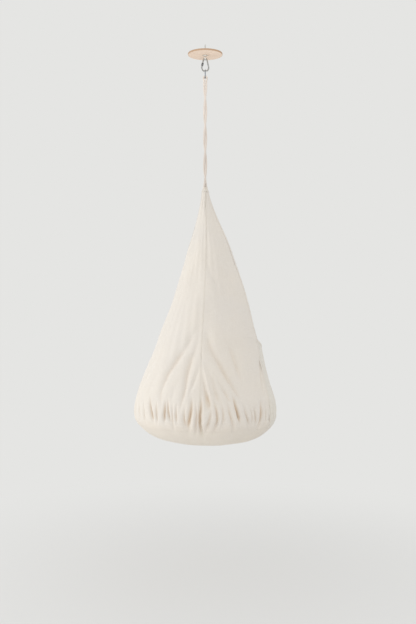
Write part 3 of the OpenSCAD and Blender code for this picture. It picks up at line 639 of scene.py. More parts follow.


# %% [markdown]
# ## Folds
# The cloth is longer round the base than the cushion, so it is gathered above the base seam, and long creases
# fan out from the seam that faces the camera. Each fold is a valley that runs down a path of angle and
# height. Across it the depth falls off like a bell with a pinched foot, so that the cloth between two valleys
# is left as a round finger. Long creases are wide and soft at their upper end and narrow below. The folds
# that the photograph shows are listed one by one, and seeded random ones go round the rest of the pod.

# %% Folds seen in the photograph: depth, width above and below, place of the deepest point, and the path as
# pairs of camera angle in degrees and height in millimetres
CREASES = [
    (16.0, 40, 11, 0.55, [(-4, -1480), (-9, -1590), (-16, -1640), (-22, -1690), (-31, -1765), (-37, -1839),
                          (-38.5, -1908), (-38.8, -1948), (-37.8, -1983), (-35.5, -2014), (-34.7, -2065)]),
    (14.5, 30, 10, 0.62, [(-4, -1525), (-8, -1650), (-14, -1753), (-16.5, -1850), (-17.6, -1925),
                          (-18.8, -1977), (-18.9, -2014), (-19.4, -2078)]),
    (8.5, 19, 9, 0.6, [(-4.2, -1735), (-6, -1811), (-9, -1861), (-13, -1929), (-14, -1990)]),
    (27.0, 9, 11, 0.6, [(-3.6, -1920), (-3.3, -1959), (-3.7, -2011), (-4.3, -2047), (-4.1, -2096),
                        (-2.1, -2162), (-1.2, -2215)]),
    (11.0, 9, 16, 0.62, [(-3.0, -1800), (-1.9, -1860), (-0.4, -1915), (1.2, -1960), (1.2, -2000),
                         (-0.2, -2035), (-0.8, -2058)]),
    (7.0, 5, 6, 0.6, [(-2.2, -1850), (1.6, -1940), (3.2, -1987), (2.0, -2020), (0.4, -2050)]),
    (-6.0, 7, 10, 0.6, [(-3.4, -1745), (0.2, -1830), (4.2, -1930), (6.0, -1990), (6.2, -2045)]),
    (9.0, 13, 15, 0.6, [(-1.4, -1745), (2.4, -1800), (6.3, -1869), (9.6, -1944), (10.5, -2015)]),
    (16.5, 40, 12, 0.6, [(-3, -1485), (2.5, -1625), (9.5, -1729), (17, -1817), (25, -1905), (28.5, -1956),
                         (30, -1995), (31, -2040)]),
    (12.0, 32, 14, 0.6, [(14, -1535), (24, -1654), (28.5, -1730), (32.5, -1820), (33.5, -1890), (33, -1950)]),
    (8.0, 18, 10, 0.65, [(6, -1800), (13, -1880), (17.1, -1932), (20.4, -1985), (21, -2010)]),
    (4.0, 15, 20, 0.5, [(2.5, -1215), (9, -1262), (16.3, -1335), (21, -1430)]),
    (4.6, 15, 22, 0.5, [(26, -1180), (30.3, -1221), (39, -1363), (42, -1470)]),
    (2.2, 6, 8, 0.5, [(-3, -1695), (-3.4, -1734), (-3.2, -1775)]),
    (4.5, 4, 6, 0.4, [(25, -804), (12, -845), (3, -890), (4, -945)]),
    (4.0, 4, 7, 0.4, [(41, -804), (41, -860), (40, -935)]),
    (9.5, 9, 9, 0.5, [(68, -1650), (64, -1720), (60.5, -1795), (58, -1880), (55.5, -1960), (54.5, -2005),
                      (52, -2045)]),
    (5.0, 26, 14, 0.65, [(-60, -1680), (-66, -1800), (-69, -1900), (-67, -2000)]),
    (3.5, 24, 16, 0.6, [(-46, -1800), (-52, -1880), (-53, -1960), (-51, -2010)]),
    (4.0, 22, 14, 0.6, [(-22, -1850), (-27, -1920), (-28, -1985), (-27, -2015)]),
    (11.0, 7, 11, 0.6, [(-75, -1985), (-74, -2060), (-74, -2118)]),
    (12.5, 7, 11, 0.6, [(-66, -1995), (-64, -2060), (-63, -2112)]),
    (11.0, 6, 10, 0.6, [(-57, -2010), (-56, -2070), (-55, -2124)]),
    (19.0, 7, 11, 0.6, [(-49.5, -1965), (-48.5, -2010), (-45.5, -2069), (-43, -2118)]),
    (12.0, 6, 9, 0.6, [(-41.5, -1995), (-40.5, -2060), (-39, -2122)]),
    (18.0, 6, 10, 0.55, [(-33, -1985), (-32.8, -2040), (-32.2, -2118)]),
    (13.5, 6, 10, 0.55, [(-31.2, -1965), (-29.8, -2022), (-27, -2085), (-26.5, -2122)]),
    (10.5, 7, 10, 0.55, [(-26, -1996), (-24.8, -2068), (-25.5, -2160)]),
    (12.5, 6, 9, 0.55, [(-22.5, -2005), (-22, -2060), (-21.5, -2118)]),
    (14.0, 7, 11, 0.6, [(-15.4, -2010), (-15.8, -2070), (-15.4, -2135)]),
    (22.5, 8, 14, 0.62, [(-11.2, -1950), (-10.8, -2010), (-11.4, -2055), (-13.0, -2110), (-13.2, -2162)]),
    (15.5, 6, 9, 0.55, [(-7.4, -1985), (-6.8, -2050), (-7.2, -2110), (-7.6, -2186)]),
    (15.5, 8, 12, 0.55, [(3.4, -2025), (2.9, -2070), (1.4, -2120), (0.8, -2165)]),
    (17.0, 7, 11, 0.58, [(6.4, -1975), (8.0, -2030), (9.0, -2080), (7.0, -2174)]),
    (12.0, 7, 11, 0.6, [(12.4, -1995), (13.6, -2070), (13.0, -2140)]),
    (14.5, 8, 12, 0.6, [(17.0, -1980), (18.6, -2040), (20.8, -2090), (24.0, -2176)]),
    (22.5, 8, 11, 0.6, [(23.2, -1950), (24.4, -2005), (26.2, -2060), (28.0, -2128)]),
    (15.5, 7, 11, 0.6, [(31.2, -1990), (33.0, -2050), (35.0, -2102), (36.5, -2148)]),
    (12.0, 6, 9, 0.6, [(38.5, -2020), (38.8, -2080), (38.0, -2132)]),
    (18.0, 6, 10, 0.62, [(42.0, -2015), (42.2, -2070), (42.4, -2132)]),
    (24.0, 10, 16, 0.58, [(51.2, -1985), (49.8, -2050), (47.8, -2100), (45.4, -2162)]),
    (12.0, 7, 10, 0.6, [(56, -2020), (55, -2080), (53.5, -2132)]),
    (12.5, 7, 11, 0.6, [(63, -2005), (62, -2070), (61, -2128)]),
    (12.0, 7, 11, 0.6, [(71, -2015), (70, -2075), (70, -2124)]),
]
SEEN_FOLDS = len(CREASES)

# %% Folds round the rest of the pod
FOLD_SEED = 4
HIDDEN_FROM, HIDDEN_TO = 77, 282
LONG_HIDDEN = 10
LONG_FROM, LONG_TO = 88, 276
LONG_FOOT = -2050
rng = np.random.default_rng(FOLD_SEED)
angle = HIDDEN_FROM
while angle < HIDDEN_TO:
    tall = 45 + 190 * rng.random() ** 1.7
    low = rng.uniform(-2172, -2104)
    lean = rng.uniform(-3.0, 3.0)
    depth = rng.uniform(6, 13) + tall / 30
    CREASES.append((depth, rng.uniform(5, 8), rng.uniform(8, 15), rng.uniform(0.45, 0.72),
                    [(angle + lean, low + tall), (angle + 0.3 * lean, low + 0.5 * tall), (angle, low)]))
    angle += rng.uniform(2.8, 7.4)
for angle in np.linspace(LONG_FROM, LONG_TO, LONG_HIDDEN) + rng.uniform(-6, 6, LONG_HIDDEN):
    top = rng.uniform(-1760, -1560)
    lean = rng.uniform(-13, 13)
    path = [(angle + lean * (1 - step) ** 1.6, top + (LONG_FOOT - top) * step)
            for step in np.linspace(0, 1, 5)]
    CREASES.append((rng.uniform(5, 10), rng.uniform(24, 34), rng.uniform(10, 14), 0.72, path))
print(SEEN_FOLDS, "folds follow the photograph,", len(CREASES) - SEEN_FOLDS, "more go round the rest")

# %% Smooth noise round the pod
WANDER_CLIMB = 14


def wander(theta, z, seed, reach, waves=6, turns=9):
    """Smooth noise from -1 to 1 that closes round the pod: a sum of waves with seeded directions."""
    random = np.random.default_rng(seed)
    total = 0
    for _ in range(waves):
        around = random.integers(1, turns)
        up = random.uniform(-WANDER_CLIMB, WANDER_CLIMB)
        total = total + np.sin(np.radians(theta) * around + up * z / reach + random.uniform(0, 2 * np.pi))
    return total / np.sqrt(waves)


# %% Height of the folded cloth over its smooth outline
GATHER_TALL = 240
GATHER_FADE = 34
SHOULDER = 0.18
SHOULDER_WIDE = 2.3
# Amount in millimetres, seed, reach in metres, number of waves and most turns of each layer of noise
RIPPLES = ((2.0, 7, 0.5, 6, 9), (0.45, 11, 0.05, 8, 40), (1.0, 15, 0.9, 9, 34))
PUFF = 4.0
DRAWN_IN = 2.0
LEAN = 9.0
LEAN_DIR = -35
CALM_R = 0.05
CALM_REACH = 0.33
POLE_R = 0.12


def valley(across):
    """A valley of depth 1 by the distance from its middle in widths: e to the minus distance to the power
    1.5, which pinches its foot, and a low, wide shoulder on both sides."""
    u = np.abs(across)
    return -(1 + SHOULDER) * np.exp(-u ** 1.5) + SHOULDER * np.exp(-(u / SHOULDER_WIDE) ** 2)


def folds(camera_angle, z, radius):
    """All the folds together, in millimetres: each one's depth, which grows from both ends of its path to its
    deepest point, times the valley across it. A gather begins a little above its path and fades in."""
    level = z / MM
    total = 0
    for depth, above_w, below_w, peak, path in CREASES:
        path = np.array(path, float)
        tall = path[0, 1] - path[-1, 1]
        fade = GATHER_FADE if tall < GATHER_TALL else 0
        t = np.clip((path[0, 1] + fade - level) / (tall + fade), 0, 1)
        peak = (peak * tall + fade) / (tall + fade)
        middle = np.interp(-level, -path[:, 1], path[:, 0])
        strength = ease(np.minimum(t / peak, (1 - t) / (1 - peak)))
        across = np.radians(turn(camera_angle - middle)) * radius / MM
        total = total + depth * strength * valley(across / (above_w + (below_w - above_w) * t))
    return total


def tip_puckers(theta, z):
    """Small waves in millimetres, where the cloth is gathered to the tip. The finest are at the very top."""
    a = np.radians(theta)
    below = (1 - ease((TOP_Z - z) / 0.22)) * ease((TOP_Z - z) / 0.05)
    at_top = 1 - ease((TOP_Z - z) / 0.03)
    return below * (2.2 * np.sin(a * 7 + 1.0) + 1.2 * np.sin(a * 13)) + 0.5 * at_top * np.sin(a * 11)


def fold_height(theta, z, radius):
    """How far the cloth stands out from its outline, in metres, at an angle and a height: the puff over the
    base seam, minus every fold, plus a slow swell, a fine ripple and the puckers at the tip. All of it
    fades out towards the middle of the base, which the weight draws tight."""
    camera_angle = theta + 90 + 0.7 * wander(theta, z, 3, 0.25)
    above = z - SEAM_Z
    puff = ease((above + 0.035) / 0.07) * (1 - ease((above - 0.04) / 0.17))
    height = PUFF * puff - DRAWN_IN * ease(1 - np.abs(z - WIDE_Z) / 0.2) + folds(camera_angle, z, radius)
    loose = ease((TOP_Z - z) / 0.5)
    for amount, seed, reach, waves, turns in RIPPLES:
        height = height + amount * loose * wander(theta, z, seed, reach, waves, turns)
    height = height * np.where(z < WIDE_Z, ease((radius - CALM_R) / CALM_REACH), 1)
    lean = ease((WIDE_Z - z + 0.02) / 0.13) * np.clip(np.cos(np.radians(theta - LEAN_DIR)), 0, 1)
    height = height + LEAN * lean * ease((z - BOTTOM_Z) / 0.05) + tip_puckers(theta, z)
    return height * np.where(z < WIDE_Z, ease(radius / POLE_R), 1) * MM


# %% Painted shade in the folds and towards the base seam
SHADE_FULL = 16 * MM
SHADE_Z = -1.90
SEAM_SHADE_SHARE = 0.2
SHADE_RISE = 80 * MM


def painted_fold_shade(fold, z):
    """Painted shade in a fold, from 0 to 1, by its depth in shares of 16 mm, and less high up."""
    return np.clip(-fold / SHADE_FULL, 0, 1) ** 1.6 * (0.3 + 0.7 * ease((SHADE_Z - z) / 0.1))


def painted_seam_shade(z):
    """The share of painted shade that darkens the cover towards the base seam, to match the darker base, and
    none higher up.
    """
    return SEAM_SHADE_SHARE * ease((SEAM_Z + SHADE_RISE - z) / SHADE_RISE)


# %% A point of the cover
OPEN_SHIFT = 0.053
SHIFT_LEN = 1.116
SWIRL = 13.0
SWIRL_LEN = 0.95
NECK_DRAW = 12.5 * MM
NECK_GRIP = 0.045
NECK_FROM, NECK_FADE = 0.1, 0.28


def shift_at(z):
    """How far the upper cone stands out towards the opening at a height."""
    s = np.clip((TOP_Z - z) / SHIFT_LEN, 0, 1)
    return OPEN_SHIFT * np.sin(np.pi * s ** 1.05)


def swirl_at(z):
    """Degrees by which the rope's twist has turned the cloth at a height: most at the tip, none below."""
    t = np.clip((TOP_Z - z) / SWIRL_LEN, 0, 1)
    return SWIRL * (1 - t) ** 1.6


def neck_at(z):
    """How far the cloth is drawn in below the tip, where the pull of the rope gathers it."""
    down = TOP_Z - z
    gripped = 1 - np.exp(-np.maximum(down, 0) / NECK_GRIP)
    return NECK_DRAW * gripped * (1 - ease((down - NECK_FROM) / NECK_FADE))


def cover_point(theta, s, off=0.0, draw=0.0):
    """A point of the folded cover at an angle in degrees and a length down the cloth, moved out by off and
    in by draw, with its outward normal of the smooth outline and its fold height."""
    radius, z, out, up = outline_at(s)
    theta = theta + swirl_at(z)
    fold = fold_height(theta, z, radius)
    shift = shift_at(z) * np.cos(np.radians(theta - OPEN_DIR))
    reach = radius + shift - draw - neck_at(z) + (fold + off) * out
    a = np.radians(theta)
    return polar(reach, a, z + (fold + off) * up), polar(out, a, up), fold


# %% [markdown]
# ## The panels of the cover
# Three gores are sewn together at two seams: the back one, and one on each side of the entry. Each is a grid
# of the cover's own formula between two edges, with its rows closer together near the gathers, and a Solidify
# modifier gives it the canvas's thickness on the inside.

# %% Build the gores
HEM_W = 16 * MM
HEM_MOST_DEG = 12.0
HEM_LAP = 0.6
ROW_CROWDING = 1.3
UV_LEAST_R = 0.1


def degrees_of(width, radius, most):
    """The angle that a width takes at a radius, at most the angle to which it is bunched at the tip."""
    return np.minimum(np.degrees(width / radius), most)


def cloth_rows(count):
    """Lengths down the cloth from the tip to the base seam, closer together towards its lower end."""
    return SEAM_S * (1 - (1 - np.linspace(0, 1, count)) ** ROW_CROWDING)


def gore(name, first, last, columns, rows, node, first_lap=0, last_lap=0):
    """A panel between two edges at an angle each. A lap of 1 or -1 carries that edge on under its hem."""
    s = cloth_rows(rows)[:, None]
    radius = outline_at(s)[0]
    under = degrees_of(HEM_LAP * HEM_W, radius, HEM_MOST_DEG)
    start, end = first + first_lap * under, last + last_lap * under
    theta = start + (end - start) * np.linspace(0, 1, columns)
    points, _, fold = cover_point(theta, s)
    u = np.radians(theta - (NEAR_SEAM + OPEN_DIR) / 2) * np.maximum(radius, UV_LEAST_R)
    # Painted shade: darker in the folds and towards the base seam
    painted_shade = np.maximum(painted_fold_shade(fold, points[..., 2]), painted_seam_shade(points[..., 2]))
    piece = build(name, [grid_part(points, u, -s)], cover_cotton, [node], fold=painted_shade)
    thicken(piece, COVER_T)
    down = np.linalg.norm(np.diff(points, axis=0), axis=-1)
    over = np.linalg.norm(np.diff(points, axis=1), axis=-1)
    flat_area = (down[:, 1:] * over[1:]).sum()
    print(f"  cut {over.sum(1).max():.3f} by {down.sum(0).max():.3f} m, {flat_area:.3f} m2")
    return piece


back = gore("cover_back", FAR_SEAM - 360, NEAR_SEAM, 320, 150, "back_panel")
near_side = gore("cover_near_side", NEAR_SEAM, NEAR_EDGE, 230, 190, "near_side_panel", last_lap=-1)
far_side = gore("cover_far_side", FAR_EDGE, FAR_SEAM, 210, 180, "far_side_panel", first_lap=1)

# %% [markdown]
# ## The pouch
# Below its rim the entry is closed by a pouch. Its rim sags between the hems and is drawn in, because a
# hand or a leg pushes it down whenever someone gets in.

# %% Build the pouch and its shape function
RIM_DROP = 0.852
RIM_SAG = 0.054
RIM_DRAW = 0.028
RIM_S = length_at(TOP_Z - RIM_DROP)
SLACK = 2.5 * MM
SLACK_WAVES = 22
TUCK = 1.4
POUCH_INSET = 1.1 * MM
POUCH_COLUMNS, POUCH_ROWS = 250, 150


def pouch_point(theta, t, off=0.0):
    """A point of the pouch at an angle and a share of the way from the rim to the base seam."""
    u = (theta - NEAR_EDGE) / (FAR_EDGE - NEAR_EDGE)
    arch = 4 * u * (1 - u)
    rim = length_at(TOP_Z - RIM_DROP - RIM_SAG * (1 - np.minimum(np.abs(2 * u - 1), 1) ** 3))
    s = rim + (SEAM_S - rim) * t
    draw = RIM_DRAW * arch * (1 - ease(t * 1.5))
    slack = SLACK * arch * (1 - ease(t * 1.6)) * np.sin(np.radians(theta) * SLACK_WAVES + 3 * t)
    return cover_point(theta, s, off + slack, draw)


down = (np.linspace(0, 1, POUCH_ROWS) ** 0.9)[:, None]
theta = np.linspace(NEAR_EDGE - TUCK, FAR_EDGE + TUCK, POUCH_COLUMNS)
points, _, fold = pouch_point(theta, down, -POUCH_INSET)
pouch_parts = [grid_part(points, np.radians(theta) * POD_R, -down * (SEAM_S - RIM_S))]
# Painted shade in the pouch's folds, on the shaded copy of the cover's cotton
pouch = build("pouch", pouch_parts, pouch_cotton_shaded, ["pouch_panel"],
              fold=painted_fold_shade(fold, points[..., 2]))
thicken(pouch, COVER_T)


# %% [markdown]
# ## Hems
# A hem is the cloth's edge, folded twice and stitched down, so it is a flat band with round edges. It is a
# flattened ring carried along the edge: one parameter runs round the ring and the other along the edge.

# %% Build the hems
BAND_SIDES = 14
HEM_HALF_T = 1.7 * MM
HEM_INSET = 0.8 * MM
HEM_ROWS = 330
RIM_HEM_AT = 0.014
RIM_HEM_ROWS = 200


def band(centre, side, normal, half_w, half_t):
    """A flat band with round edges along a path: a superellipse across it, wide along side and thin along
    normal. The path's points and both directions are rows of three numbers."""
    a = circle(BAND_SIDES)[:, None]
    wide = np.sign(np.cos(a)) * np.abs(np.cos(a)) ** 0.5
    thin = np.sign(np.sin(a)) * np.abs(np.sin(a)) ** 0.8
    half_w = np.broadcast_to(half_w, len(centre))[:, None, None]
    points = centre[:, None] + half_w * wide * side[:, None] + half_t * thin * normal[:, None]
    around = np.linspace(0, 2 * (2 * half_w.max() + 2 * half_t), BAND_SIDES + 1)
    return capped(points, around, -path_length(centre)[:, None], centre[0], centre[-1])


def edge_hem(name, edge, way, node):
    """The hem along one side of the entry, from the tip to the base seam."""
    s = cloth_rows(HEM_ROWS)
    radius = outline_at(s)[0]
    wide = degrees_of(HEM_W, radius, HEM_MOST_DEG)
    centre, normal, _ = cover_point(edge + way * wide / 2, s, -HEM_INSET)
    side = unit(np.cross(along(centre), normal))
    parts = band(centre, side, normal, np.radians(wide) * radius / 2, HEM_HALF_T)
    return build(name, parts, hem_cotton, [node])


hem_near = edge_hem("hem_near", NEAR_EDGE, -1, "near_hem")
hem_far = edge_hem("hem_far", FAR_EDGE, 1, "far_hem")
rim_theta = np.linspace(NEAR_EDGE, FAR_EDGE, RIM_HEM_ROWS)
centre, normal, _ = pouch_point(rim_theta, RIM_HEM_AT, -HEM_INSET)
rim_parts = band(centre, np.cross(along(centre), normal), normal, HEM_W / 2, HEM_HALF_T)
hem_rim = build("hem_rim", rim_parts, hem_cotton, ["pouch_hem"])

# %% [markdown]
# ## The base
# Under the gathers the seat is one round panel, drawn tight by the weight on it. It carries on from the
# cover's outline, and the lowest ends of the pleats run out on it.

# %% Build the base panel
BASE_COLUMNS, BASE_ROWS = 420, 60
BASE_LAP = 4 * MM
BASE_INSET = 0.9 * MM
s = np.linspace(SEAM_S - BASE_LAP, OUTLINE_S[-1], BASE_ROWS)[:-1, None]
theta = np.linspace(-180, 180, BASE_COLUMNS, endpoint=False)
points, _, fold = cover_point(theta, s, -BASE_INSET)
base_parts = [grid_part(points, *plan_view(points), around=True), fan_part(points[-1], points[-1].mean(0))]
# Painted shade in the base's folds
base_painted_shade = np.append(painted_fold_shade(fold, points[..., 2]), np.zeros(BASE_COLUMNS + 1))
base = build("base_bowl", base_parts, base_cotton, ["base_panel"], fold=base_painted_shade, weld=True)
thicken(base, COVER_T)

# %% [markdown]
# ## Rope
# The rope is one loop. It goes over the ring in a bight, and its two legs turn twice round each other on
# their way down to the cover. Laid rope is three strands, each a tube that winds round the rope's middle
# line. The middle line is worked out first, with the direction that points out of the loop. The strands then
# follow it at one lay length, so that bight and legs meet without a step.

# %% The rope's middle line
BIGHT_LOW, BIGHT_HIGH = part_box("rope_bight")
TWIST_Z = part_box("rope_twist")[1][2]
TWIST_END_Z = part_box("rope_twist")[0][2]
ROPE_D = BIGHT_HIGH[1] - BIGHT_LOW[1]
ROPE_R = ROPE_D / 2
BIGHT_R = BIGHT_HIGH[0] - ROPE_R
BIGHT_Z = BIGHT_HIGH[2] - ROPE_R - BIGHT_R
LEG_R = ROPE_R + 0.2 * MM
TWIST_TURNS = 2
STEP = 1.6 * MM
LEG_LAP = 3 * MM


def leg_line(side):
    """A leg from just above the first turn down: a steep helix round the middle, with its direction away
    from it. It laps a little way into the bight, so that no crack shows between the two."""
    z = np.linspace(TWIST_Z + LEG_LAP, TWIST_END_Z, 500)
    a = np.radians(side) - 2 * np.pi * TWIST_TURNS * (TWIST_Z - z) / (TWIST_Z - TWIST_END_Z)
    return polar(LEG_R, a, z), polar(1, a, 0)


def bight_line():
    """The bight in the XZ plane: up a soft S curve, half round the ring's wire, and down the other side."""
    t = np.linspace(0, 1, 40)
    x = LEG_R + (BIGHT_R - LEG_R) * ease((t - 0.45) / 0.55)
    up = np.stack([x, 0 * x, TWIST_Z + (BIGHT_Z - TWIST_Z) * t], 1)
    a = np.linspace(0, np.pi, 60)[1:-1]
    out_arch = np.stack([np.cos(a), 0 * a, np.sin(a)], 1)
    arch = [0, 0, BIGHT_Z] + BIGHT_R * out_arch
    out_up = np.tile([1.0, 0.0, 0.0], (len(t), 1))
    line = np.vstack([up, arch, (up * [-1, 1, 1])[::-1]])
    return line[::-1], np.vstack([out_up, out_arch, -out_up])[::-1]


def even(line, out):
    """The same line with evenly spaced points, its out directions and its lengths."""
    s = path_length(line)
    new = np.linspace(0, s[-1], int(s[-1] / STEP) + 1)
    line, out = read_at(new, s, line, out)
    tangent = along(line)
    return line, unit(out - (out * tangent).sum(1, keepdims=True) * tangent), new


# %% The rope's three strands
LAY = 38 * MM
STRANDS = 3
STRAND_SIDES = 10
STRAND_R = 0.478 * ROPE_R


def strands(line, out, s):
    """Laid rope along a line: each strand's middle goes round the line once in a lay, and the strand is a
    tube round that. Three circles that touch inside a circle have 0.464 of its radius, and these are a little
    larger, as pressed yarns are."""
    other = np.cross(along(line), out)
    round_uv = np.linspace(0, 1, STRAND_SIDES + 1)
    parts = []
    for k in range(STRANDS):
        phase = 2 * np.pi * (s / LAY + k / STRANDS)[:, None]
        spoke = np.cos(phase) * out + np.sin(phase) * other
        middle = line + (ROPE_R - STRAND_R) * spoke
        points = rings(middle, spoke, unit(np.cross(along(middle), spoke)), STRAND_R, STRAND_SIDES)
        parts += capped(points, round_uv, s[:, None], middle[0], middle[-1], flip=True)
    return parts


# %% Build the bight and the twisted legs
line, out, s = even(*bight_line())
BIGHT_LEN = s[-1]
bight_parts = strands(line, out, s - BIGHT_LEN / 2)
build("rope_over_ring", bight_parts, rope_cotton, ["rope_bight"], "rope")
leg_parts = []
for side, way in ((180, -1), (0, 1)):
    line, out, s = even(*leg_line(side))
    s = BIGHT_LEN / 2 - LEG_LAP + s
    loop_length = 2 * s[-1]
    if way < 0:
        line, out, s = line[::-1], out[::-1], -s[::-1]
    leg_parts += strands(line, out, s)
rope_legs = build("rope_legs", leg_parts, rope_cotton, ["rope_twist"], body=None)
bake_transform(rope_legs)
print(f"loop of rope: {loop_length:.3f} m")

# %% [markdown]
# ## The stopper knot
# Under the ring in the cover's tip the two legs are tied off. The wraps of the knot are one helix of the same
# rope, widest in its middle, and two short ends come out below.

# %% Build the knot
KNOT_LOW, KNOT_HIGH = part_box("rope_knot")
KNOT_TOP = KNOT_HIGH[2] - ROPE_R
KNOT_FALL = KNOT_LOW[2] - KNOT_HIGH[2] + ROPE_R
KNOT_WRAPS = 3
KNOT_CORE = 9.5 * MM
KNOT_BULGE = 4 * MM
TAIL = 34 * MM
t = np.linspace(0, 1, 400)
a = 2 * np.pi * KNOT_WRAPS * t
knot_r = KNOT_CORE + KNOT_BULGE * np.sin(np.pi * t)
wraps = polar(knot_r, a, KNOT_TOP + (KNOT_FALL + ROPE_R) * t)
knot_parts = strands(*even(wraps, polar(1, a, 0)))
for way in (-1, 1):
    t = np.linspace(0, 1, 60)
    x = way * LEG_R * (0.75 + 0.7 * ease(t * 1.4 - 0.4))
    tail = np.stack([x, 0 * t, KNOT_TOP + (KNOT_FALL - TAIL) * t], 1)
    knot_parts += strands(*even(tail, np.tile([way, 0.0, 0.0], (len(t), 1))))
build("rope_stopper_knot", knot_parts, rope_cotton, ["rope_knot"])

# %% [markdown]
# ## Stitches
# A stitch is a short capsule of thread, bowed a little into the cloth at both ends. One small mesh is worked
# out and then placed along a path with three directions for each copy, all in one array.

# %% Stitches along a path
STITCH = 4.2 * MM
STITCH_R = 0.42 * MM
STITCH_SIDES = 6
STITCH_AT = np.array([-0.36, -0.24, 0.24, 0.36]) * STITCH
STITCH_THICK = np.array([0.35, 1.0, 1.0, 0.35]) * STITCH_R
STITCH_RISE = np.array([-0.9, 0.2, 0.2, -0.9]) * STITCH_R
STITCH_ENDS = np.array([[1, 2, 3, 0], [3, 4, 5, 0], [21, 20, 19, 18], [23, 22, 21, 18]])
LINE_ROWS = 900


def stitch_shape():
    """One stitch: four rings of six points, as lengths forward, to the side and up, and its faces."""
    a = circle(STITCH_SIDES)
    side = STITCH_THICK[:, None] * np.cos(a)
    up = STITCH_THICK[:, None] * np.sin(a) + STITCH_RISE[:, None]
    shape = np.stack(np.broadcast_arrays(STITCH_AT[:, None], side, up), -1)
    j = np.arange(STITCH_SIDES)
    after = (j + 1) % STITCH_SIDES
    quads = [np.stack([ring + STITCH_SIDES + j, ring + STITCH_SIDES + after, ring + after, ring + j], 1)
             for ring in STITCH_SIDES * np.arange(len(STITCH_AT) - 1)]
    return shape.reshape(-1, 3), np.concatenate([*quads, STITCH_ENDS])


def stitches(path, normal):
    """Copies of one stitch along a path: its middle stands a thread's radius over the cloth."""
    shape, faces = stitch_shape()
    s = path_length(path)
    middle = np.arange(STITCH / 2, s[-1], STITCH)
    place, up, forward = read_at(middle, s, path, normal, along(path))
    axes = np.stack([forward, np.cross(forward, up), up], 1)
    points = (place[:, None] + shape @ axes).reshape(-1, 3)
    copies = (faces + len(shape) * np.arange(len(middle))[:, None, None]).reshape(-1, 4)
    return points, copies, points[copies][..., [0, 2]] * [40, 1]


def cover_line(angle, width, most, share, off):
    """A line down the cover, a share of a width beside an angle, with its normals."""
    s = np.linspace(4 * MM, SEAM_S - 1 * MM, LINE_ROWS)
    theta = angle + degrees_of(width, outline_at(s)[0], most) * share
    return cover_point(theta, s, off)[:2]


# %% [markdown]
# ## Seams
# Each seam of the cover is felled: one edge is folded over the other and stitched down twice, which leaves a
# flat ridge on the outside. Inside, a twill tape is sewn over it, and carries the load from the ring in the
# tip to the straps under the seat.

# %% Build the seams and their tapes
FELL_W = 9 * MM
FELL_T = 0.55 * MM
FELL_MOST_DEG = 6
FELL_CROWN = FELL_T * np.array([-1.2, 0.5, 1, 0.5, -1.2])
FELL_THREAD = FELL_T + 0.1 * MM
TAPE_W = 25 * MM
TAPE_T = 1.2 * MM
TAPE_MOST_DEG = 10.0
TAPE_INSET = 3.0 * MM
TAPE_THREAD = 4.25 * MM
SEAM_ROWS_AT = 0.36
STRIP_ROWS, STRIP_COLUMNS = 300, 5


def strip(angle, width, most, off):
    """A strip of cloth down the cover, width wide, as a grid of points with its UV, and its fold height."""
    s = cloth_rows(STRIP_ROWS)[:, None]
    share = np.linspace(-0.5, 0.5, STRIP_COLUMNS)
    points, _, fold = cover_point(angle + degrees_of(width, outline_at(s)[0], most) * share, s, off)
    return points, [grid_part(points, share * width, -s)], fold


def seam(name, angle, node):
    """The fell outside, with its two rows of stitches, and the tape inside."""
    points, parts, fold = strip(angle, FELL_W, FELL_MOST_DEG, FELL_CROWN)
    # Painted shade in the fell's folds
    fell = build(f"{name}_fell", parts, hem_cotton, fold=painted_fold_shade(fold, points[..., 2]))
    thicken(fell, FELL_T * 1.2)
    _, parts, _ = strip(angle, TAPE_W, TAPE_MOST_DEG, -TAPE_INSET)
    tape = build(f"{name}_twill", parts, tape_cotton, [node])
    thicken(tape, TAPE_T)
    rows = []
    for share in (-SEAM_ROWS_AT, SEAM_ROWS_AT):
        path, normal = cover_line(angle, FELL_W, FELL_MOST_DEG, share, FELL_THREAD)
        rows.append(stitches(path, normal))
        path, normal = cover_line(angle, TAPE_W, TAPE_MOST_DEG, share * 1.2, -TAPE_THREAD)
        rows.append(stitches(path, -normal))
    build(f"{name}_stitches", rows, thread)
    return tape


near_tape = seam("near_seam", NEAR_SEAM, "near_seam_tape")
far_tape = seam("far_seam", FAR_SEAM, "far_seam_tape")

# %% Stitch the hems
HEM_THREADS = ((0.95 * MM, 1), (-2.55 * MM, -1))
RIM_THREAD_AT = 0.020
hem_rows = []
for edge, way in ((NEAR_EDGE, -1), (FAR_EDGE, 1)):
    for share in (0.2, 0.84):
        for off, face in HEM_THREADS:
            path, normal = cover_line(edge, HEM_W, HEM_MOST_DEG, way * share, off)
            hem_rows.append(stitches(path, face * normal))
rim_theta = np.linspace(NEAR_EDGE + 1, FAR_EDGE - 1, 700)
for off, face in HEM_THREADS:
    path, normal, _ = pouch_point(rim_theta, RIM_THREAD_AT, off)
    hem_rows.append(stitches(path, face * normal))
build("hem_stitches", hem_rows, thread)

# %% [markdown]
# ## The tip
# The steel ring is sewn into a casing of the cover's own cloth, a ring shaped tube with small puckers. Above
# it the cloth goes on as a short neck, gathered closely round the two legs of the rope.

# %% Build the casing
CASING_R = (CASING_HIGH - CASING_LOW) / 2
CASING_Z = (CASING_HIGH + CASING_LOW) / 2
CASING_MEAN_R = TOP_R - CASING_R
CASING_COLUMNS, CASING_SIDES = 160, 24
a = np.linspace(0, 2 * np.pi, CASING_COLUMNS + 1)[:, None]
b = circle(CASING_SIDES)
pucker = 0.35 * MM * np.sin(23 * a + 2 * np.sin(b)) * (0.6 + 0.4 * np.cos(b))
thick = CASING_R - 0.9 * MM + pucker
points = polar(CASING_MEAN_R + thick * np.cos(b), a, CASING_Z + thick * np.sin(b))
round_uv = np.linspace(0, 2 * np.pi * CASING_R, CASING_SIDES + 1)
casing_parts = [grid_part(points, a * CASING_MEAN_R, round_uv, around=True)]
build("tip_casing", casing_parts, cover_cotton, ["apex_casing"])

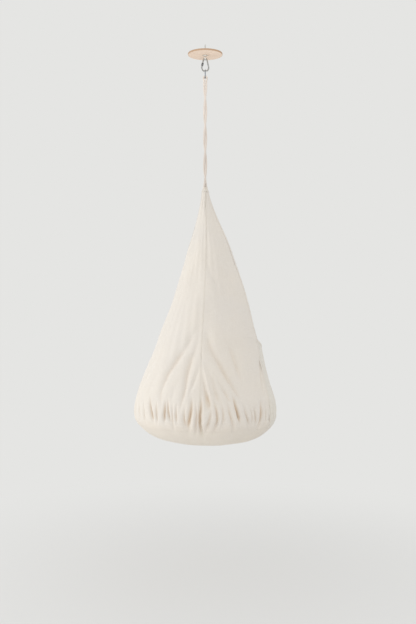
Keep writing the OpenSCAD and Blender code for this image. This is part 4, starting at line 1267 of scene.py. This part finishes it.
# %% Build the neck
NECK_R = 13.1 * MM
NECK_TOP = CASING_HIGH + 17 * MM
NECK_T = 1.3 * MM
NECK_GATHERS = 11
NECK_COLUMNS = 180
NECK_UV_LEN = 0.03
NECK_HUG_DEG = 60
t = np.linspace(0, 1, 26)[:, None]
b = np.radians(NECK_HUG_DEG * t)
hug = CASING_R + 0.3 * MM
round_ring = np.hstack([CASING_MEAN_R + hug * np.cos(b), CASING_Z + hug * np.sin(b)])
lap = np.array([[TOP_R + 0.9 * MM, TOP_Z - 3.0 * MM], [TOP_R + 0.6 * MM, TOP_Z]])
leave = round_ring[-1] + 4 * MM * np.array([-np.sin(b[-1, 0]), np.cos(b[-1, 0])])
rising = bezier(t, [round_ring[-1], leave, [NECK_R, NECK_TOP - 10 * MM], [NECK_R, NECK_TOP]])
profile_r, profile_z = np.vstack([lap, round_ring, rising[1:]]).T[..., None]
a = circle(NECK_COLUMNS)
height = (profile_z - CASING_Z) / (NECK_TOP - CASING_Z)
gathers = np.sin(NECK_GATHERS * a + 1.5 * height) + 0.5 * np.sin(7 * a + 2.0 - 2 * height)
radius = profile_r + 0.7 * MM * gathers * (0.4 + 0.6 * ease(height * 2.5))
points = polar(radius, a, profile_z + 0.8 * MM * gathers * ease(height * 1.2 - 0.2))
u = np.linspace(0, 2 * np.pi * NECK_R, NECK_COLUMNS + 1)
v = np.linspace(0, NECK_UV_LEN, len(profile_r))[:, None]
# The fold attribute paints shade into the valleys of the neck's gathers
neck = build("tip_neck", [grid_part(points, u, v, around=True, flip=True)], hem_cotton,
             fold=np.clip(-0.5 * gathers * ease(height * 3), 0, 1))
thicken(neck, NECK_T)

# %% [markdown]
# ## Straps
# Two straps cross under the cushion. They lie on the inner side of the base, so they follow its folds.

# %% Build the straps
STRAP_W = 30 * MM
STRAP_T = 1.3 * MM
STRAP_INSET = 3.4 * MM
STRAP_REACH = 0.378
STRAP_ROWS, STRAP_COLUMNS = 240, 9
reach = np.linspace(-STRAP_REACH, STRAP_REACH, STRAP_ROWS)[:, None]
across = np.linspace(-STRAP_W / 2, STRAP_W / 2, STRAP_COLUMNS)
strap_parts = []
for angle in (NEAR_SEAM, FAR_SEAM):
    theta = angle + np.degrees(np.arctan2(across, reach))
    points, _, _ = cover_point(theta, length_at(bowl_z(np.hypot(reach, across))), -STRAP_INSET)
    strap_parts.append(grid_part(points, across, reach))
straps = build("seat_straps", strap_parts, tape_cotton, ["base_straps"])
thicken(straps, -STRAP_T)

# %% [markdown]
# ## The cushion puffs up
# The cushion is two round panels sewn together over a piped seam and stuffed. A panel has more cloth than its
# seam can take up, so wrinkles run in from the seam when the filling puffs it up. A formula for such wrinkles
# looks combed, but Blender's Cloth finds them by itself. A square net of cloth is bent over a low dome, held
# at the seam, given a little more cloth than the dome needs, and blown up for twenty frames without gravity.
# Only the way that each knot has moved is kept, and the fine mesh of the panel reads it.

# %% The net of cloth over a low dome
CUSHION_R = PIPING_MEAN_R - 0.3 * PIPING_R
CROWN_H = CUSHION_TOP_Z - WIDE_Z
CROWN_FULL = 2.5
NET = 111
NET_PLUMP = 0.74
NET_SPARE = 0.05
NET_PRESSURE = 1.0
NET_FRAMES = 20
NET_CAP = 28 * MM
NET_ROUGH = 0.3 * MM
NET_SEED = 9
NET_EDGE = 0.05


def dome(share, theta, plump):
    """A point of the dome over the seam: a superellipse, with share 0 in its middle and 1 at the seam."""
    psi = np.clip(share, 0, 1) * np.pi / 2
    radius = CUSHION_R * np.sin(psi) ** (2 / CROWN_FULL)
    height = plump * CROWN_H * np.clip(np.cos(psi), 0, 1) ** (2 / CROWN_FULL)
    return polar(radius, theta, height)


def disc_of_square(a, b):
    """Share and angle in a disc for a place in a square: each square ring becomes a round one."""
    wide = np.abs(a) > np.abs(b)
    long, short = np.where(wide, a, b), np.where(wide, b, a)
    turned = np.pi / 4 * np.divide(short, long, out=np.zeros_like(long), where=long != 0)
    return np.abs(long), np.where(wide, turned, np.pi / 2 - turned) + np.pi * (long < 0)


def square_of_disc(share, theta):
    """The place in a square for a share and an angle in a disc, the other way round."""
    turned = (theta + np.pi / 4) % (2 * np.pi)
    side = np.floor(turned / (np.pi / 2)).astype(int) % 4
    short = share * ((turned % (np.pi / 2)) / (np.pi / 4) - 1)
    a = np.choose(side, [share, -short, -share, short])
    b = np.choose(side, [short, share, -short, -share])
    return a, b


def blown_up(start, faces, held):
    """Where the knots of a net are after the frames of the simulation, with the held ones pinned."""
    mesh = bpy.data.meshes.new("net")
    mesh.from_pydata(start.reshape(-1, 3), [], faces)
    net = bpy.data.objects.new("net", mesh)
    bpy.context.scene.collection.objects.link(net)
    net.vertex_groups.new(name="seam").add(np.flatnonzero(held).tolist(), 1.0, "REPLACE")
    cloth = net.modifiers.new("cloth", "CLOTH")
    cloth.settings.vertex_group_mass = "seam"
    cloth.settings.use_pressure = True
    cloth.settings.uniform_pressure_force = NET_PRESSURE
    cloth.settings.shrink_min = -NET_SPARE
    cloth.settings.quality = 6
    cloth.settings.bending_stiffness = 0.1
    cloth.settings.effector_weights.gravity = 0
    cloth.point_cache.frame_start, cloth.point_cache.frame_end = 1, NET_FRAMES
    for step in range(1, NET_FRAMES + 1):
        bpy.context.scene.frame_set(step)
    blown = net.evaluated_get(bpy.context.evaluated_depsgraph_get()).to_mesh()
    end = np.empty(start.size, np.float32)
    blown.vertices.foreach_get("co", end)
    bpy.context.scene.frame_set(1)
    bpy.data.objects.remove(net)
    bpy.data.meshes.remove(mesh)
    return end.reshape(start.shape)


def puffed_moves():
    """How far each knot of the net moves when the panel is blown up, at most the cap, with the smallest
    zigzag taken out by a filter of weights 1, 2 and 1."""
    a, b = np.meshgrid(np.linspace(-1, 1, NET), np.linspace(-1, 1, NET), indexing="ij")
    share, theta = disc_of_square(a, b)
    start = dome(share, theta, NET_PLUMP)
    start[..., 2] += np.random.default_rng(NET_SEED).uniform(-NET_ROUGH, NET_ROUGH, share.shape)
    _, faces, _ = grid_part(start, a, b, flip=start[0, 0, 0] > 0)
    moves = blown_up(start, faces, share.ravel() > 1 - 1e-6) - start
    length = np.linalg.norm(moves, axis=-1, keepdims=True)
    moves = moves * np.minimum(1, NET_CAP / np.maximum(length, 1e-9))
    print(f"the net moves by up to {length.max() / MM:.0f} mm, on average {length.mean() / MM:.0f} mm")
    for axis in (0, 1):
        padded = np.pad(moves, [(1, 1) if k == axis else (0, 0) for k in range(3)], mode="edge")
        low, middle, high = (np.take(padded, np.arange(NET) + k, axis=axis) for k in range(3))
        moves = (low + 2 * middle + high) / 4
    return moves


def read_net(moves, share, theta):
    """The moves between the knots, by the weights of a cubic B-spline over four by four knots."""
    padded = np.pad(moves, ((1, 2), (1, 2), (0, 0)), mode="edge")
    places, weights = [], []
    for side in square_of_disc(share, theta):
        knot = np.clip((side + 1) / 2 * (NET - 1), 0, NET - 1 - 1e-9)
        f = knot % 1
        places.append(np.floor(knot).astype(int))
        weights.append([(1 - f) ** 3 / 6, (3 * f ** 3 - 6 * f ** 2 + 4) / 6,
                        (-3 * f ** 3 + 3 * f ** 2 + 3 * f + 1) / 6, f ** 3 / 6])
    total = sum((weights[0][p] * weights[1][q])[..., None] * padded[places[0] + p, places[1] + q]
                for p in range(4) for q in range(4))
    return total * ease((1 - share) / NET_EDGE)[..., None]


puff_moves = puffed_moves()
puff_plump = NET_PLUMP

# %% [markdown]
# ## The cushion
# The upper panel is the dome with the net's moves on it and a hollow where people sit. The lower panel lies
# in the bowl of the cover, and where a pleat comes in, the cushion gives way.

# %% The shape of the cushion's panels
CUSHION_COLUMNS, CUSHION_ROWS = 360, 110
UNDER_GAP = 5.6 * MM
WALL_GAP = 4.5 * MM
SEAM_PINCH = 4.5 * MM
DIMPLE, DIMPLE_R = 14 * MM, 0.15
LUMPS = 2.6 * MM


def seam_wrinkles(theta, inwards, seed):
    """Short radial wrinkles that the piped seam draws in: waves of uneven spacing that fade from the seam."""
    uneven = np.radians(theta + 2.5 * wander(theta, 0 * theta, seed, 1.0))
    short = np.sin(uneven * 46) + 0.6 * np.sin(uneven * 71 + 1.3)
    near = np.exp(-inwards / 0.028) * ease(inwards / 0.010)
    far = np.exp(-inwards / 0.075) * ease(inwards / 0.030)
    return (1.3 * near * short + 1.9 * far * np.sin(uneven * 19 + 0.7)) * MM


def upper_shape(share, theta):
    """Radius, angle and height of the upper panel: dome, moves of the net, wrinkles, lumps and a hollow."""
    a = np.radians(theta)
    x, y, height = np.moveaxis(dome(share, a, puff_plump) + read_net(puff_moves, share, a), -1, 0)
    radius, theta = np.hypot(x, y), np.degrees(np.arctan2(y, x))
    dimple = DIMPLE * np.exp(-((radius / DIMPLE_R) ** 2))
    lumps = LUMPS * wander(theta, radius * 3, 21, 0.5) * ease(radius / 0.2) * ease(height / 0.03)
    wrinkles = seam_wrinkles(theta, CUSHION_R - radius + height, 5)
    return radius, theta, WIDE_Z + height + wrinkles + lumps - dimple


def lower_shape(share, theta):
    """Radius, angle and height of the lower panel: the pod's bowl made smaller, pinched in at the seam."""
    psi = (1 - share) * np.pi / 2
    z = WIDE_Z - (BOWL_H - UNDER_GAP) * np.sin(psi) ** (2 / BOWL_FULL)
    inwards = WIDE_Z - z
    radius = (POD_R - UNDER_GAP) * np.cos(psi) ** (2 / BOWL_FULL) - SEAM_PINCH * np.exp(-inwards / 0.012)
    return radius + 0.6 * seam_wrinkles(theta, inwards, 6), theta, z


def cushion_panel(shape):
    """A panel of the cushion as a grid from its seam to its middle, kept inside the cover's wall."""
    share = 1 - (np.linspace(0, 1, CUSHION_ROWS) ** 1.35)[:, None]
    theta = np.linspace(-180, 180, CUSHION_COLUMNS, endpoint=False)
    radius, theta, z = shape(*np.broadcast_arrays(share, theta))
    wall_r, _, wall_out, _ = outline_at(length_at(np.clip(z, BOTTOM_Z + 1e-4, None)))
    wall = wall_r + shift_at(z) * np.cos(np.radians(theta - OPEN_DIR)) \
        + (fold_height(theta, z, wall_r) - WALL_GAP) * np.maximum(wall_out, 0.3)
    radius = np.where(z > BOTTOM_Z + 0.05, np.minimum(radius, wall), radius)
    return polar(radius, np.radians(theta), z)


# %% Build the panels
PANEL_T = 1.2 * MM


def cushion_piece(name, points, upper, node):
    """One panel of the cushion, closed in its middle by a fan, with the cloth's thickness inside."""
    ring = points[-2]
    parts = [grid_part(points[:-1], *plan_view(points[:-1]), around=True, flip=upper),
             fan_part(ring, ring.mean(0), flip=upper)]
    piece = build(name, parts, ticking, [node], weld=True)
    thicken(piece, PANEL_T)


upper_points, lower_points = cushion_panel(upper_shape), cushion_panel(lower_shape)
cushion_piece("cushion_upper_panel", upper_points, True, "cushion_top")
cushion_piece("cushion_lower_panel", lower_points, False, "cushion_base")

# %% Build the filling
CORE_SCALE = 0.985
MIDDLE = np.array([0, 0, WIDE_Z])
upper_core, lower_core = ((points[:-1:2, ::2] - MIDDLE) * CORE_SCALE + MIDDLE
                          for points in (upper_points, lower_points))
core = np.concatenate([upper_core[::-1], lower_core[1:]])
core_parts = capped(core, *plan_view(core), core[0].mean(0), core[-1].mean(0))
filling = build("cushion_core", core_parts, filling_cotton, ["cushion_filling"], weld=True)

# %% Build the piping, which gives way to the folds of the cover
PIPING_COLUMNS, PIPING_SIDES = 480, 12
PIPING_GAP = 3.5 * MM
PIPING_SMOOTH = 9
a = np.linspace(0, 2 * np.pi, PIPING_COLUMNS + 1)
around = np.degrees(a)[:, None] + np.linspace(-1.8, 1.8, 7)
wall = (POD_R + fold_height(around, WIDE_Z, POD_R)).min(1) - PIPING_R - PIPING_GAP
wall = np.pad(wall[:-1], PIPING_SMOOTH // 2, mode="wrap")
wall = np.convolve(wall, np.full(PIPING_SMOOTH, 1 / PIPING_SMOOTH), mode="valid")
wave = 0.5 * MM * wander(np.degrees(a), 0 * a, 31, 1.0, turns=14)
line = polar(np.minimum(PIPING_MEAN_R, np.append(wall, wall[0])), a, WIDE_Z + wave)
points = rings(line, polar(1, a, 0), np.broadcast_to([0, 0, 1.0], line.shape), 0.9 * PIPING_R, PIPING_SIDES)
round_uv = np.linspace(0, 2 * np.pi * PIPING_R, PIPING_SIDES + 1)
piping_parts = [grid_part(points, round_uv, a[:, None] * PIPING_MEAN_R, around=True)]
build("cushion_piping_cord", piping_parts, ticking, ["cushion_piping"], weld=True)

# %% [markdown]
# ## The gate's spring
# Inside the gate a small spring pushes the plunger up. It is a wire carried along a helix.

# %% Build the spring
SPRING_LOW, SPRING_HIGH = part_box("gate_spring")
PLUNGER_LOW, PLUNGER_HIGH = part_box("gate_plunger")
SPRING_TURNS = 11
SPRING_WIRE = 0.28 * MM
SPRING_R = 1.25 * MM
WIRE_SIDES = 6
foot, head = (np.array([(low[0] + high[0]) / 2, 0, (low[2] + high[2]) / 2])
              for low, high in ((SPRING_LOW, SPRING_HIGH), (PLUNGER_LOW, PLUNGER_HIGH)))
axis = unit(head - foot)
half = (SPRING_HIGH[2] - SPRING_LOW[2]) / 2 - SPRING_R * abs(axis[0]) - SPRING_WIRE
side = np.array([axis[2], 0, -axis[0]])
t = np.linspace(-1, 1, 260)[:, None]
a = np.pi * SPRING_TURNS * t
out = np.cos(a) * side + np.sin(a) * np.array([0, 1.0, 0])
line = foot + half * t * axis + SPRING_R * out
points = rings(line, out, np.cross(along(line), out), SPRING_WIRE, WIRE_SIDES)
spring_parts = capped(points, np.linspace(0, 1, WIRE_SIDES + 1), t, line[0], line[-1], flip=True)
build("gate_spring_coil", spring_parts, zinc_steel, ["gate_spring"], "gate")
